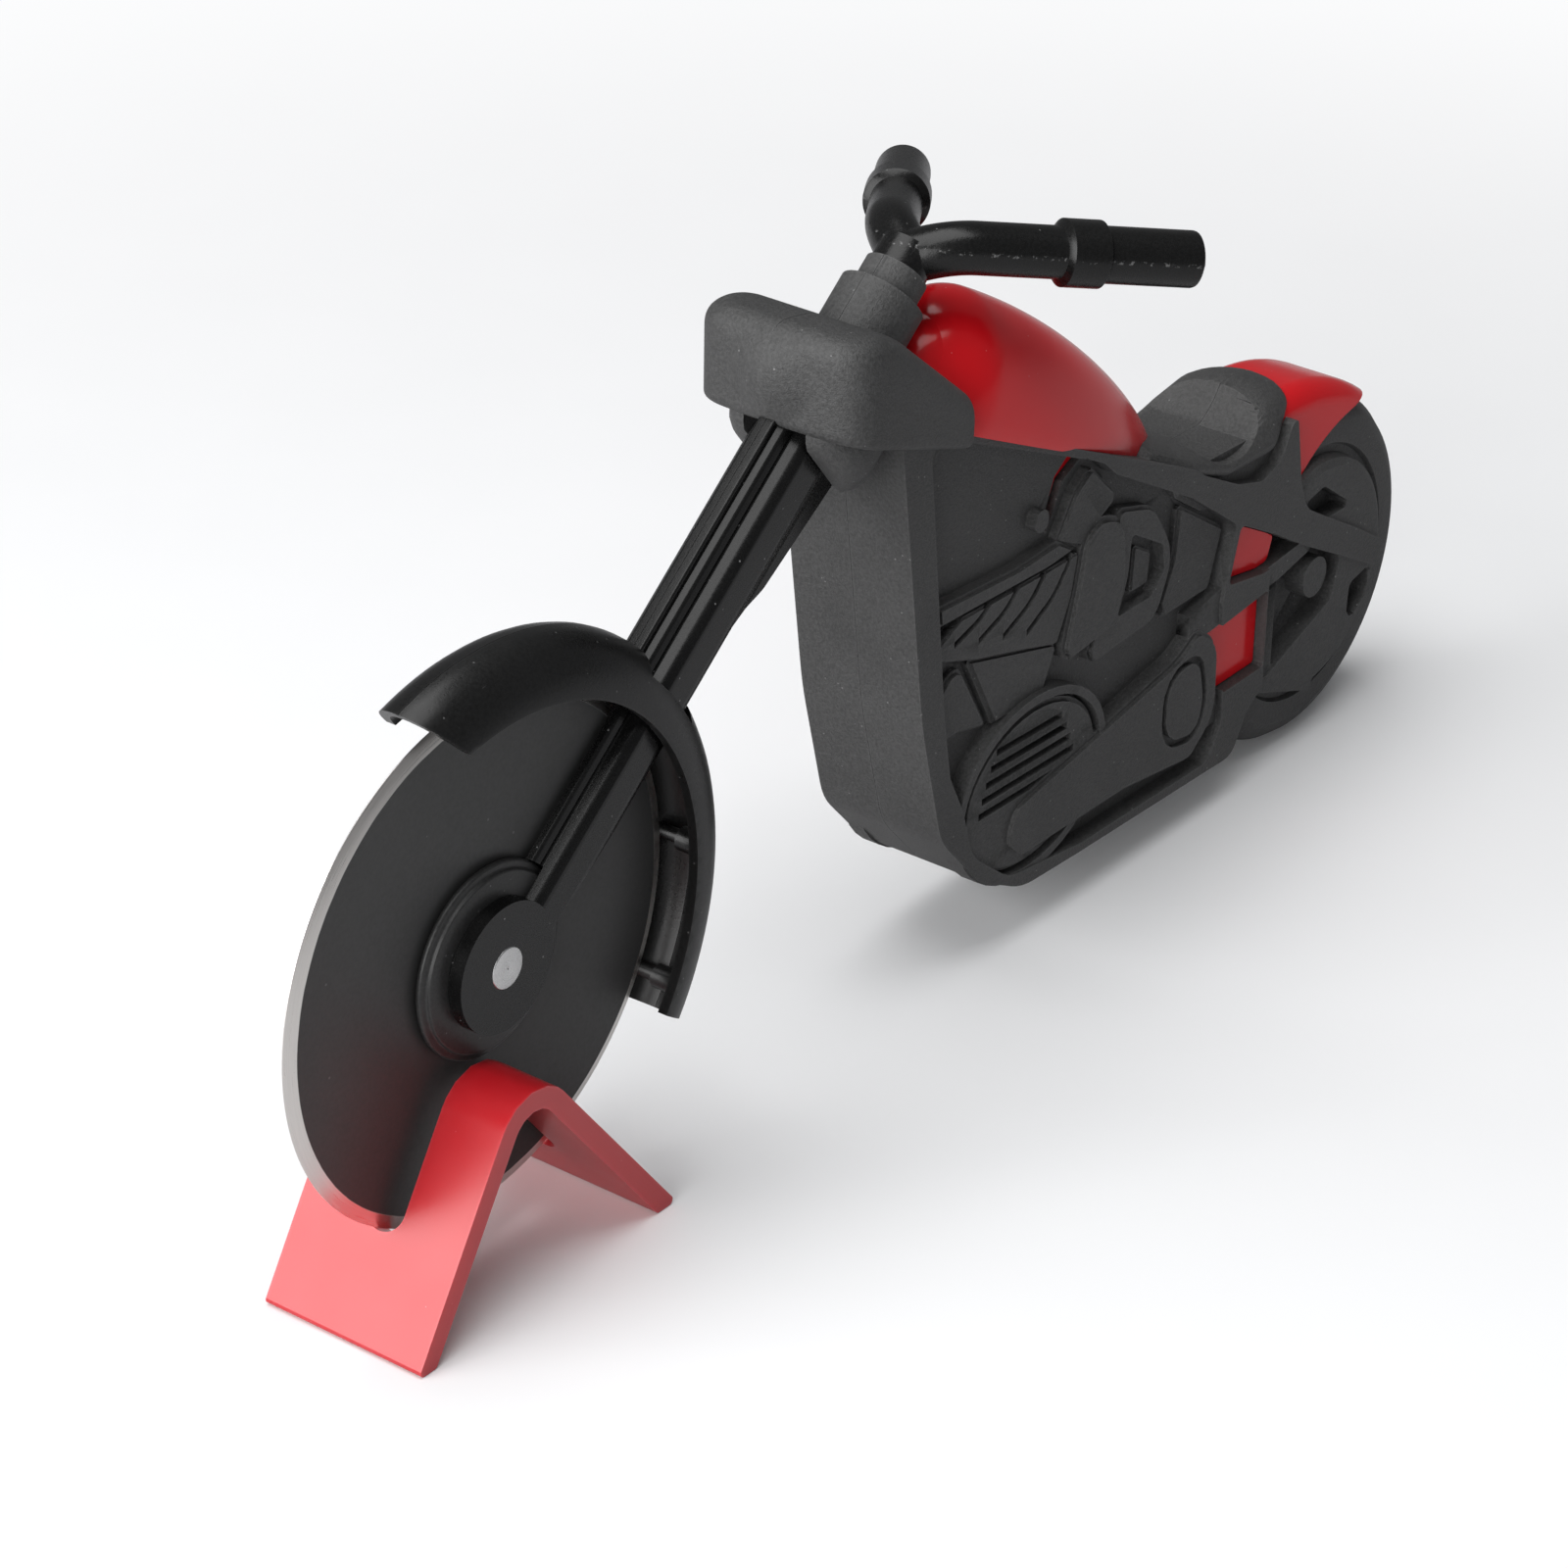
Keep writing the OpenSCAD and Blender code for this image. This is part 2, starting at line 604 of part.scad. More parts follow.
// red fender over the rear wheel
fender_c = [87, 15];
fender_r = 39.3;
fender_bend = 3.4;
sweep_c = [107.3, 22.2];
sweep_r = 25;
module rear_fender(grow) {
    y = rear_w / 2 + 0.4 + grow;
    r = fender_r + grow;
    bend = [for (k = [0:8]) [r - fender_bend * (1 - cos(90 * k / 8)),
                             y - fender_bend * (1 - sin(90 * k / 8))]];
    shoulder = [for (k = [8:-1:0]) bend[k]];
    difference() {
        intersection() {
            translate([fender_c[0], 0, fender_c[1]])
                rotate([90, 0, 0])
                    rotate_extrude()
                        polygon(concat([[8, -y], [8, y]], shoulder,
                                       [for (c = bend) [c[0], -c[1]]]));
            plate([[85 - grow, 70], [85 - grow, 45], [90.2, 40 - grow], [125, 30], [125, 70]],
                  -20, 20);
        }
        disc(sweep_c[0], sweep_c[1], sweep_r - grow, -20, 20);
    }
}

// seat pad
module pad(x, z, rx, rz, half) {
    translate([x, 0, z])
        scale([rx, half, rz])
            sphere(r = 1, $fn = 26);
}
module seat() {
    half = seat_w / 2;
    difference() {
        union() {
            hull() {
                pad(83.6, 53.2, 7.6, 3.2, half * 0.86);
                pad(80.4, 50.6, 7, 4, half);
                pad(71, 50.4, 5, 2.2, half);
            }
            hull() {
                pad(71, 50.4, 5, 2.2, half);
                pad(64, 53, 5, 2.2, half);
            }
            hull() {
                pad(64, 53, 5, 2.2, half);
                pad(54.4, 57.6, 3, 2, half * 0.8);
            }
        }
        // the scoop for the rider
        disc(72.6, 61.6, 10.4, -20, 20);
    }
}

// fairing round the steering head
fairing_top = head_z + 8.2;
fairing_side = [[-16.9, fairing_top, 4], [-16.9, head_z - 4.3, 1.8], [9.4, head_z - 13.6, 1.4],
                [9.6, head_z - 7.3, 4], [-7.4, fairing_top - 1.5, 12]];
fairing_y = fairing_w / 2;
bulge_z = head_z + 1.6;
fairing_plan = [[-16.9, 0, 30], [-15.2, -fairing_y, 3.6], [10.8, -fairing_y, 0],
                [10.8, fairing_y, 0], [-15.2, fairing_y, 3.6]];
// Front view of the fairing, across and up.
function fairing_face(half, top, r) = [[-half, head_z - 30, 0], [half, head_z - 30, 0],
                                       [half, top, r], [-half, top, r]];
module fairing_solid(p, q, f) {
    intersection() {
        round_plate(p, -30, 30);
        translate([0, 0, head_z - 40])
            linear_extrude(80)
                polygon(round_off(q, 5));
        translate([-30, 0, 0])
            rotate([90, 0, 90])
                linear_extrude(60)
                    polygon(round_off(f, 5));
    }
}
module fairing() {
    bulge_R = (bulge_r * bulge_r + bulge_h * bulge_h) / (2 * bulge_h);
    inner_side = shrink(fairing_side, fairing_wall);
    difference() {
        union() {
            fairing_solid(fairing_side, fairing_plan, fairing_face(fairing_y, fairing_top, 2.8));
            intersection() {
                translate([fairing_side[0][0] - bulge_h + bulge_R, 0, bulge_z])
                    sphere(r = bulge_R);
                translate([fairing_side[0][0] - 3, 0, bulge_z])
                    rotate([0, 90, 0])
                        cylinder(r = bulge_r, h = 4);
            }
        }
        fairing_solid([[inner_side[0][0], inner_side[0][1], 3], [inner_side[0][0], head_z - 20, 0],
                       [30, head_z - 30, 0], [30, head_z - 20, 0], [11, inner_side[3][1] - 3, 0],
                       [inner_side[4][0], inner_side[4][1], 12]],
                      concat([[-14.9, 0, 28]],
                             [[-13.4, -fairing_y + fairing_wall, 3.2],
                              [31, -fairing_y + fairing_wall, 0],
                              [31, fairing_y - fairing_wall, 0],
                              [-13.4, fairing_y - fairing_wall, 3.2]]),
                      fairing_face(fairing_y - fairing_wall, fairing_top - fairing_wall, 1.4));
    }
}

// screws that hold the two shells together
screw_at = [[10.5, 67], [15.5, 24], [61.6, 19.6], [wheel_c[0], wheel_c[1]]];
screw_head = 2.6;
screw_shank = 1.2;
screw_seat = core_y + 0.6;
module screw_holes(is_left) {
    for (s = screw_at)
        if (is_left)
            disc(s[0], s[1], screw_shank + fit / 2, -1, core_y);
        else {
            disc(s[0], s[1], screw_shank + 2 * fit, -1, side_y + 1);
            disc(s[0], s[1], screw_head + fit, screw_seat, side_y + 2);
        }
}
module body_screws() {
    color(steel)
        seat_at_head()
            for (s = screw_at) {
                disc(s[0], s[1], screw_shank, 0.8 - core_y, screw_seat + eps);
                difference() {
                    disc(s[0], s[1], screw_head, screw_seat, screw_seat + 1.6);
                    for (turn = [0, 90])
                        translate([s[0], screw_seat + 1.6, s[1]])
                            rotate([0, turn, 0])
                                cube([3, 1.4, 0.6], center = true);
                }
            }
}

// core: one red moulding with the tank, the spine, the window panels and the rear fender
panel_y = side_y - 1.6;
sliver_y = floor_y - 1;
spine = [[15, under_tank(15) - 8, 0], [36, 56.5, 0], [58, 45, 6], [66, 34, 4], [66, 15.6, 2],
         [88, 15.6, 0], [88, 34, 0], [90, 42, 0], [84, 46, 0], [66, 46, 4], [60, under_tank(60) + 0.5, 0],
         [15.5, under_tank(15.5) + 0.5, 0]];
module spine_plate(grow) {
    round_plate(shrink(spine, -grow), -core_y - grow, core_y + grow);
}
// The tank is a teardrop turned about a sloping axis and narrowed across the machine.
tank_c = [15.0, head_z - 10];
tank_end = [62.3, 53.2];
tank_slope = atan2(tank_c[1] - tank_end[1], tank_end[0] - tank_c[0]);
tank_high = 11.6;
tank_nose = 11;
tank_tail = 56;
tank_tip = 1.2;
function tank_radius(s) = s < 0
    ? tank_high * sqrt(1 - pow(s / tank_nose, 2))
    : tank_high * pow(1 - pow(s / tank_tail, 2), 1.12);
module tank(grow = 0) {
    tip_s = tank_tail - 2 * tank_tip;
    back = [for (k = [0:10]) let (s = tip_s * k / 10) [max(tank_radius(s), tank_tip) + grow, s]];
    nose = [for (k = [1:9]) let (s = -tank_nose * cos(90 * k / 10)) [tank_radius(s) + grow, s]];
    tip = [for (k = [1:3])
        [max(0, (tank_tip + grow) * cos(30 * k)), tip_s + (tank_tip + grow) * sin(30 * k)]];
    difference() {
        translate([tank_c[0], 0, tank_c[1]])
            scale([1, tank_w / 2 / tank_high, 1])
                rotate([0, 90 + tank_slope, 0])
                    rotate_extrude()
                        polygon(concat([[0, -tank_nose - grow]], nose, back, tip));
        // flat underside that sits on the shells
        translate([0, 0, -grow])
            plate([[-30, under_tank(-30)], [-30, 20], [90, 20], [90, under_tank(90)]], -20, 20);
    }
}
module neck_clearance(grow) {
    steer_rod(neck_d / 2 + grow, head_u - 30, neck_top + 8);
    steer_rod(chin_d / 2 + grow, head_u - 30, head_u - 1 + grow);
}
module core() {
    color(red)
        difference() {
            seat_at_head() {
                tank();
                spine_plate(0);
                rear_fender(0);
                for (w = [panel_top, window_low])
                    round_plate(shrink(w, 2 * fit), -panel_y, panel_y);
                round_plate(shrink(red_sliver, 2 * fit), -sliver_y, sliver_y);
            }
            neck_clearance(fit + 0.1);
        }
}

// The round socket that takes the top of the fork, with a rounded mouth.
chin_low = fork_top - 3.2;
module chin() {
    r = chin_d / 2;
    steer()
        translate([chin_low, 0, -trail])
            rotate([0, 90, 0])
                rotate_extrude()
                    polygon(concat([[0, head_u - 1 - chin_low], [0, 0]],
                                   [for (k = [0:5]) [r - chin_round * (1 - sin(18 * k)),
                                                     chin_round * (1 - cos(18 * k))]],
                                   [[r, head_u - 1 - chin_low]]));
}
module shell_solid() {
    steer_rod(neck_d / 2, head_u - 8, neck_top - 3.5);
    steer_rod(neck_step_d / 2, head_u - 8, neck_top);
    chin();
    seat_at_head() {
        difference() {
            round_plate(block_side, 0, side_y);
            round_plate(recess, floor_y, side_y + 1);
        }
        engine_relief();
        fairing();
        difference() {
            rear_wheel();
            round_plate(wheel_window_low, wheel_y - 1.6, side_y + 2);
            round_plate(wheel_window_top, wheel_y - 1.2, side_y + 2);
            round_plate(wheel_window_back, wheel_y - 0.6, side_y + 2);
        }
        disc(wheel_c[0] - 0.4, wheel_c[1], 2.9, wheel_y - 2, side_y - 0.6);
        round_plate(rail, 2, side_y);
        round_plate(pedestal, 0, side_y - 1.6);
        round_plate(swing_arm, 2, side_y - 0.6);
        round_plate(lower_arm, 2, side_y - 0.9);
        round_plate(post, 2, side_y - 0.9);
        seat();
    }
}
module cavity() {
    // hollow inside the engine block, clear of the core
    difference() {
        round_plate(shrink([[-1.9, 80, 0], [4.3, 41, 60], [9.2, 22.8, 10], [18, 13.2, 10],
                            [27.5, 9, 12], [63.6, 8, 5], [63.6, 34, 4], [56, 43.6, 4],
                            [34, 54, 0], [10, 67, 2], [2, 74, 0]], shell_wall),
                    -1, floor_y - shell_wall);
        for (s = screw_at)
            disc(s[0], s[1], screw_head + 1.6, -2, side_y);
    }
}
module body(is_left) {
    color(dark)
        mirrored(is_left)
            difference() {
                shell_solid();
                seat_at_head() {
                    cavity();
                    screw_holes(is_left);
                    spine_plate(fit);
                    rear_fender(fit);
                    tank(fit);
                    round_plate(window_top, core_y - 1, side_y + 2);
                    round_plate(window_low, core_y - 1, side_y + 2);
                    round_plate(red_sliver, core_y - 1, side_y + 2);
                }
                steer_rod(stem_d / 2 + fit, fork_top - 5, neck_top + 5);
                fork_way();
                other_half();
            }
}

// ---- blade rest ----------------------------------------------------------------------------
seat_gap = 0.3;
slot_w = 2 * (washer_out + slot_clear);
// the ridge is one arc about ridge_c; d is the depth below the outer face
ridge_c = [-ridge_ahead, axle_z - ridge_drop - ridge_r];
function rest_peak(d) =
    let (half = 90 - (front_slope + back_slope) / 2, tilt = (front_slope - back_slope) / 2)
    ridge_c + (ridge_r - d) / sin(half) * [-sin(tilt), cos(tilt)];
function rest_heel(d) = rest_peak(d)[0] - rest_peak(d)[1] / tan(front_slope);
function rest_toe(d) = rest_peak(d)[0] + rest_peak(d)[1] / tan(back_slope);
rest_side = [[rest_heel(0), 0, 0.6], [rest_heel(rest_wall), 0, 0.6],
             [rest_peak(rest_wall)[0], rest_peak(rest_wall)[1], ridge_r - rest_wall],
             [rest_toe(rest_wall), 0, 0.6], [rest_toe(0), 0, 0.6],
             [rest_peak(0)[0], rest_peak(0)[1], ridge_r]];
module blade_rest() {
    end_r = slot_w / 2;
    color(rest_red)
        difference() {
            round_plate(rest_side, -rest_w / 2, rest_w / 2, 6);
            // slot with round ends that follow the cutting wheel's rim
            on_axle() {
                rotate_extrude()
                    translate([blade_r + seat_gap - end_r, 0])
                        circle(r = end_r);
                cylinder(r = blade_r + seat_gap - end_r, h = slot_w, center = true);
            }
        }
}

module centred() {
    translate([-x_mid, 0, 0])
        children();
}

centred() body(true);  // body_left
centred() body(false);  // body_right
centred() core();
centred() fork(true);  // fork_left
centred() fork(false);  // fork_right
centred() handlebar();
centred() fender(true);  // fender_left
centred() fender(false);  // fender_right
centred() blade();
centred() blade_bush();
centred() washer(true);  // washer_left
centred() washer(false);  // washer_right
centred() axle_pin();
centred() body_screws();
centred() blade_rest();
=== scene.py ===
import json
import math
import bmesh
import bpy
from mathutils import Vector, Matrix


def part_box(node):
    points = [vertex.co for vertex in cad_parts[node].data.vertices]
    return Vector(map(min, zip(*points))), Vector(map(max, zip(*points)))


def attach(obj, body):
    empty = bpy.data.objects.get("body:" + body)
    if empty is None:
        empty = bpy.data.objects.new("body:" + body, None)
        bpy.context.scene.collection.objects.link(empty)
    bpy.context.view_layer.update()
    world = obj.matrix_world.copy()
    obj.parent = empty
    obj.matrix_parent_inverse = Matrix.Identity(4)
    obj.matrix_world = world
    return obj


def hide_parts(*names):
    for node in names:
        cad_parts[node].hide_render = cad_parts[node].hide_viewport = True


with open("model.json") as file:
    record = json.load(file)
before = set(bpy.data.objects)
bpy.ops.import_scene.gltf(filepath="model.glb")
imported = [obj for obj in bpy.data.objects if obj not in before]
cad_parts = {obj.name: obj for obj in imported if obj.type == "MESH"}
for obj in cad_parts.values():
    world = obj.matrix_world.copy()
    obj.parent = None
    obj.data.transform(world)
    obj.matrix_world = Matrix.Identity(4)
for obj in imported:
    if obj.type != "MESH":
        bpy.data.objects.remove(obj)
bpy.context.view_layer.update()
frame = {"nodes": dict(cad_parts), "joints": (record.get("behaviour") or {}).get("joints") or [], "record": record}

mm = 0.001


def metres(point):
    return tuple(Vector(point) * mm)


cameraView = {
    "azimuth": -53.29,      # degrees round from straight ahead of the left side
    "elevation": 29.10,
    "roll": 1.18,
    "distance": 610.73,     # mm from the aim point
    "aim": (-22.0, 0.0, 36.74),
    "lens": 117.0,
}


def makeCamera(v):
    turn, tip, roll = (math.radians(v[k]) for k in ("azimuth", "elevation", "roll"))
    back = Vector((math.sin(turn) * math.cos(tip), -math.cos(turn) * math.cos(tip), math.sin(tip)))
    level = Vector((math.cos(turn), math.sin(turn), 0))
    plumb = back.cross(level)
    right = level * math.cos(roll) + plumb * math.sin(roll)
    up = plumb * math.cos(roll) - level * math.sin(roll)
    data = bpy.data.cameras.new("cameraMain")
    data.lens = v["lens"]
    data.sensor_width = 36.0
    data.clip_start = 0.01
    data.clip_end = 20
    cam = bpy.data.objects.new("cameraMain", data)
    stand = Matrix((right, up, back)).transposed().to_4x4()
    stand.translation = (Vector(v["aim"]) + back * v["distance"]) * mm
    cam.matrix_world = stand
    bpy.context.scene.collection.objects.link(cam)
    bpy.context.scene.camera = cam


makeCamera(cameraView)
print("camera ready")


class NodeMaker:
    # short calls for adding and wiring nodes, in a material or a geometry tree
    def __init__(self, tree):
        self.tree = tree
        self.nodes = tree.nodes
        self.links = tree.links

    def add(self, kind, values=None, **settings):
        node = self.nodes.new(kind)
        for key, value in settings.items():
            setattr(node, key, value)
        for key, value in (values or {}).items():
            self.put(node, key, value)
        return node

    def put(self, node, socket, value):
        target = node.inputs[socket]
        if isinstance(value, bpy.types.NodeSocket):
            self.links.new(value, target)
        else:
            target.default_value = value

    def math(self, op, a, b=0.0):
        return self.add("ShaderNodeMath", {0: a, 1: b}, operation=op).outputs[0]

    def vectorMath(self, op, a, b):
        return self.add("ShaderNodeVectorMath", {0: a, 1: b}, operation=op)

    def remap(self, value, a, b, c, d, smooth=False):
        node = self.add("ShaderNodeMapRange",
                        {"Value": value, "From Min": a, "From Max": b, "To Min": c, "To Max": d})
        if smooth:
            node.interpolation_type = "SMOOTHSTEP"
        return node.outputs["Result"]


class FinishTree(NodeMaker):
    # the nodes of one procedural finish
    def __init__(self, name):
        self.mat = bpy.data.materials.new(name)
        self.mat.use_nodes = True
        self.mat.node_tree.nodes.clear()
        super().__init__(self.mat.node_tree)
        self.coords = self.add("ShaderNodeTexCoord").outputs["Object"]

    def noise(self, scale, detail=3.0, rough=0.5, distortion=0.0, coords=None):
        return self.add("ShaderNodeTexNoise",
                        {"Vector": coords or self.coords, "Scale": scale, "Detail": detail,
                         "Roughness": rough, "Distortion": distortion}).outputs["Fac"]

    def cells(self, scale):
        return self.add("ShaderNodeTexVoronoi", {"Vector": self.coords, "Scale": scale})

    def around(self, centre):
        # the offsets and the distance from an axis along Y
        at = self.add("ShaderNodeSeparateXYZ", {0: self.coords})
        dx = self.math("SUBTRACT", at.outputs["X"], centre[0])
        dz = self.math("SUBTRACT", at.outputs["Z"], centre[2])
        squares = self.math("ADD", self.math("MULTIPLY", dx, dx), self.math("MULTIPLY", dz, dz))
        return dx, dz, self.math("SQRT", squares)

    def mix(self, fac, a, b):
        node = self.add("ShaderNodeMix", {0: fac, 6: a, 7: b}, data_type="RGBA")
        return node.outputs[2]

    def blend(self, a, b, share):
        # a weighted sum, with the given share of a
        return self.math("ADD", self.math("MULTIPLY", a, share), self.math("MULTIPLY", b, 1 - share))

    def bump(self, height, strength, distance):
        return self.add("ShaderNodeBump", {"Height": height, "Strength": strength,
                                           "Distance": distance}).outputs["Normal"]

    def surface(self, **values):
        names = {key.replace("_", " "): value for key, value in values.items()}
        node = self.add("ShaderNodeBsdfPrincipled", names)
        out = self.add("ShaderNodeOutputMaterial")
        self.links.new(node.outputs[0], out.inputs["Surface"])
        return self.mat


def grey(v):
    return (v, v, v, 1.0)


# the black mouldings; grainScale is in noise cells per metre; the last value lightens the edges, partly as
# polished wear and partly as a painted edge highlight
blackFinish = {
    "shell": {"tone": 0.056, "roughness": 0.56, "grain": 0.85, "grainScale": 2300,
              "dust": 0.6, "wearAndSheen": 0.45},
    "fork": {"tone": 0.004, "roughness": 0.25, "grain": 0.05, "grainScale": 3600,
             "dust": 0.6, "wearAndSheen": 0.12},
    "fender": {"tone": 0.007, "roughness": 0.31, "grain": 0.10, "grainScale": 2400,
               "dust": 0.3, "wearAndSheen": 0.3},
    "bars": {"tone": 0.005, "roughness": 0.26, "grain": 0.10, "grainScale": 2600,
             "dust": 0.35, "wearAndSheen": 0.1},
    "hub": {"tone": 0.026, "roughness": 0.36, "grain": 0.10, "grainScale": 2600,
            "dust": 0.3, "wearAndSheen": 0.2},
}
grainDepth = 0.0002                     # m, the height of the grain in the mouldings


def dustMask(t, cellScale, share, size):
    # sparse round flecks, each in a random cell
    cell = t.cells(cellScale)
    near = t.remap(cell.outputs["Distance"], size * 0.6, size, 1, 0)
    pick = t.add("ShaderNodeSeparateColor", {0: cell.outputs["Color"]}).outputs[0]
    chosen = t.math("GREATER_THAN", pick, 1 - share)
    return t.math("MULTIPLY", near, chosen)


def edgeMask(t, radius):
    # a narrow band along the edges: on the black mouldings it is lightened as polished wear and a painted edge
    # highlight, on the red rest as a painted edge sheen
    soft = t.add("ShaderNodeBevel", {"Radius": radius}, samples=3).outputs["Normal"]
    plain = t.add("ShaderNodeNewGeometry").outputs["Normal"]
    return t.remap(t.vectorMath("DOT_PRODUCT", soft, plain).outputs["Value"], 0.99, 0.93, 0, 1)


def blackPlastic(name, v, scuffPlane=None):
    t = FinishTree(name)
    cloud = t.noise(55, 3, 0.5)
    fine = t.noise(v["grainScale"], 2, 0.6)
    pits = t.noise(v["grainScale"] * 2.3, 1, 0.5)
    patch = t.blend(cloud, fine, 0.4)
    tone = t.mix(t.remap(patch, 0.38, 0.62, 0, 1), grey(v["tone"] * 0.72), grey(v["tone"] * 1.28))
    # the edges are painted lighter: partly polished wear, partly a painted highlight
    wornAndSheen = t.math("MULTIPLY", edgeMask(t, 0.0004), v["wearAndSheen"])
    tone = t.mix(wornAndSheen, tone, grey(v["tone"] * 1.3 + 0.03))
    dust = t.math("MULTIPLY", dustMask(t, 900, 0.16, 0.13), v["dust"])
    if scuffPlane:
        dust = t.math("MAXIMUM", dust, scuffLine(t, scuffPlane))
    tone = t.mix(dust, tone, grey(0.30))
    rough = t.remap(t.blend(cloud, fine, 0.5), 0.35, 0.65, v["roughness"] - 0.05, v["roughness"] + 0.06)
    return t.surface(Base_Color=tone, Roughness=rough, IOR=1.42,
                     Normal=t.bump(t.blend(fine, pits, 0.6), v["grain"], grainDepth))


def scuffLine(t, plane):
    # trimmed flash along the parting line of the handlebar's mould
    at, normal = plane
    away = t.vectorMath("SUBTRACT", t.coords, at).outputs[0]
    far = t.vectorMath("DOT_PRODUCT", away, normal).outputs["Value"]
    band = t.remap(t.math("ABSOLUTE", far), 0.00012, 0.00030, 1, 0)
    crumbs = t.remap(t.noise(1500, 2, 0.7), 0.57, 0.64, 0, 0.42)
    return t.math("MULTIPLY", band, crumbs)


redFinish = {
    "deep": (0.62, 0.006, 0.011, 1), "bright": (0.73, 0.009, 0.015, 1),
    "fleck": (0.75, 0.45, 0.45, 1),
    "roughness": (0.13, 0.21),
    "grain": 0.05,
}


def redGloss(name, v):
    t = FinishTree(name)
    tone = t.mix(t.noise(45, 3, 0.5), v["deep"], v["bright"])
    rough = t.remap(t.noise(320, 4, 0.65, 0.4), 0.3, 0.7, *v["roughness"])
    tone = t.mix(t.math("MULTIPLY", dustMask(t, 900, 0.08, 0.09), 0.3), tone, v["fleck"])
    height = t.blend(t.noise(120, 2, 0.5), t.noise(2600, 1, 0.5), 0.8)
    return t.surface(Base_Color=tone, Roughness=rough, IOR=1.37,
                     Normal=t.bump(height, v["grain"], grainDepth))


restFinish = {
    "deep": (0.47, 0.008, 0.014, 1), "bright": (0.57, 0.014, 0.021, 1),
    # edge colour and its share: a painted sheen, paler and pinker along the edges
    "edge": (0.72, 0.07, 0.09, 1), "edgeSheen": 0.4,
    "fleck": (0.9, 0.55, 0.55, 1),
    "roughness": (0.29, 0.35),
    "glow": 0.22, "glowDepth": (0.006, 0.0014, 0.0012),     # m, how far each colour travels inside
    "coat": 0.65, "coatRoughness": 0.28,
    "grain": 0.03,
}


def clearRed(name, v):
    # tinted polypropylene that glows a little where it is thin
    t = FinishTree(name)
    tone = t.mix(t.noise(50, 3, 0.5), v["deep"], v["bright"])
    # painted sheen: the edges are mixed towards the paler edge colour
    tone = t.mix(t.math("MULTIPLY", edgeMask(t, 0.0005), v["edgeSheen"]), tone, v["edge"])
    rough = t.remap(t.noise(160, 2, 0.5), 0.3, 0.7, *v["roughness"])
    tone = t.mix(t.math("MULTIPLY", dustMask(t, 1100, 0.05, 0.08), 0.35), tone, v["fleck"])
    height = t.blend(t.noise(900, 2, 0.5), t.noise(3200, 2, 0.5), 0.5)
    return t.surface(Base_Color=tone, Roughness=rough, Subsurface_Weight=v["glow"],
                     Subsurface_Radius=v["glowDepth"], Subsurface_Scale=1.0,
                     Coat_Weight=v["coat"], Coat_Roughness=v["coatRoughness"],
                     Normal=t.bump(height, v["grain"], grainDepth))


bladeCoat = {
    "coating": (0.033, 0.041), "coatingRoughness": (0.42, 0.52),
    "steel": ((0.74, 0.71, 0.68, 1), (0.88, 0.85, 0.82, 1)), "steelRoughness": (0.26, 0.38),
    "wander": 0.00016,                  # m, how unevenly the coating ends at the bevel
    "grindRings": 6000.0,
}


def bladeFinish(name, v, centre, bevelStart):
    # matte black coating inside, bare ground steel on the bevel
    t = FinishTree(name)
    dx, dz, r = t.around(centre)
    wander = t.math("MULTIPLY", t.math("SUBTRACT", t.noise(260, 2, 0.5), 0.5), v["wander"])
    edge = t.math("ADD", t.math("SUBTRACT", r, bevelStart), wander)
    bare = t.remap(edge, -0.00004, 0.00004, 0, 1)
    plain = t.math("SUBTRACT", 1.0, bare)
    polar = t.add("ShaderNodeCombineXYZ", {0: t.math("MULTIPLY", r, v["grindRings"]),
                                           1: t.math("MULTIPLY", t.math("ARCTAN2", dz, dx), 3.0)})
    ground = t.noise(1.0, 3, 0.6, coords=polar.outputs[0])
    speck = t.noise(2200, 2, 0.55)
    coat = t.mix(t.noise(70, 3, 0.5), *(grey(c) for c in v["coating"]))
    coat = t.mix(t.math("MULTIPLY", dustMask(t, 480, 0.12, 0.10), 0.35), coat, grey(0.22))
    tone = t.mix(bare, coat, t.mix(ground, *v["steel"]))
    rough = t.math("ADD", t.math("MULTIPLY", t.remap(ground, 0.3, 0.7, *v["steelRoughness"]), bare),
                   t.math("MULTIPLY", t.remap(speck, 0.3, 0.7, *v["coatingRoughness"]), plain))
    height = t.math("ADD", t.math("MULTIPLY", ground, t.math("MULTIPLY", bare, 0.6)),
                    t.math("MULTIPLY", speck, t.math("MULTIPLY", plain, 0.5)))
    return t.surface(Base_Color=tone, Metallic=bare, Roughness=rough,
                     Normal=t.bump(height, 0.14, 0.0001))


def turnedSteel(name, centre, ringScale):
    # fine rings left by the lathe, on the end of a pin or screw
    t = FinishTree(name)
    r = t.around(centre)[2]
    ringSpace = t.add("ShaderNodeCombineXYZ", {0: t.math("MULTIPLY", r, ringScale),
                                               1: t.math("MULTIPLY", t.noise(500), 2.0)})
    rings = t.noise(1.0, 2, 0.5, coords=ringSpace.outputs[0])
    tone = t.mix(t.noise(400, 2, 0.5), grey(0.60), grey(0.74))
    rough = t.remap(rings, 0.3, 0.7, 0.22, 0.36)
    return t.surface(Base_Color=tone, Metallic=1.0, Roughness=rough,
                     Normal=t.bump(rings, 0.12, 0.0001))


def bushNylon(name):
    t = FinishTree(name)
    tone = t.mix(t.noise(200, 2, 0.5), (0.66, 0.64, 0.58, 1), (0.74, 0.72, 0.66, 1))
    return t.surface(Base_Color=tone, Roughness=t.remap(t.noise(600), 0.3, 0.7, 0.38, 0.5),
                     Normal=t.bump(t.noise(900), 0.05, 0.0001))


bodyOf = {n: b for b, ns in frame["record"]["behaviour"]["bodies"].items() for n in ns}
axle = [j for j in frame["joints"] if j["name"] == "wheel_spin"][0]["pos_m"]
bladeLow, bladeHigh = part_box("blade")
rimRadius = (bladeHigh[0] - bladeLow[0]) / 2

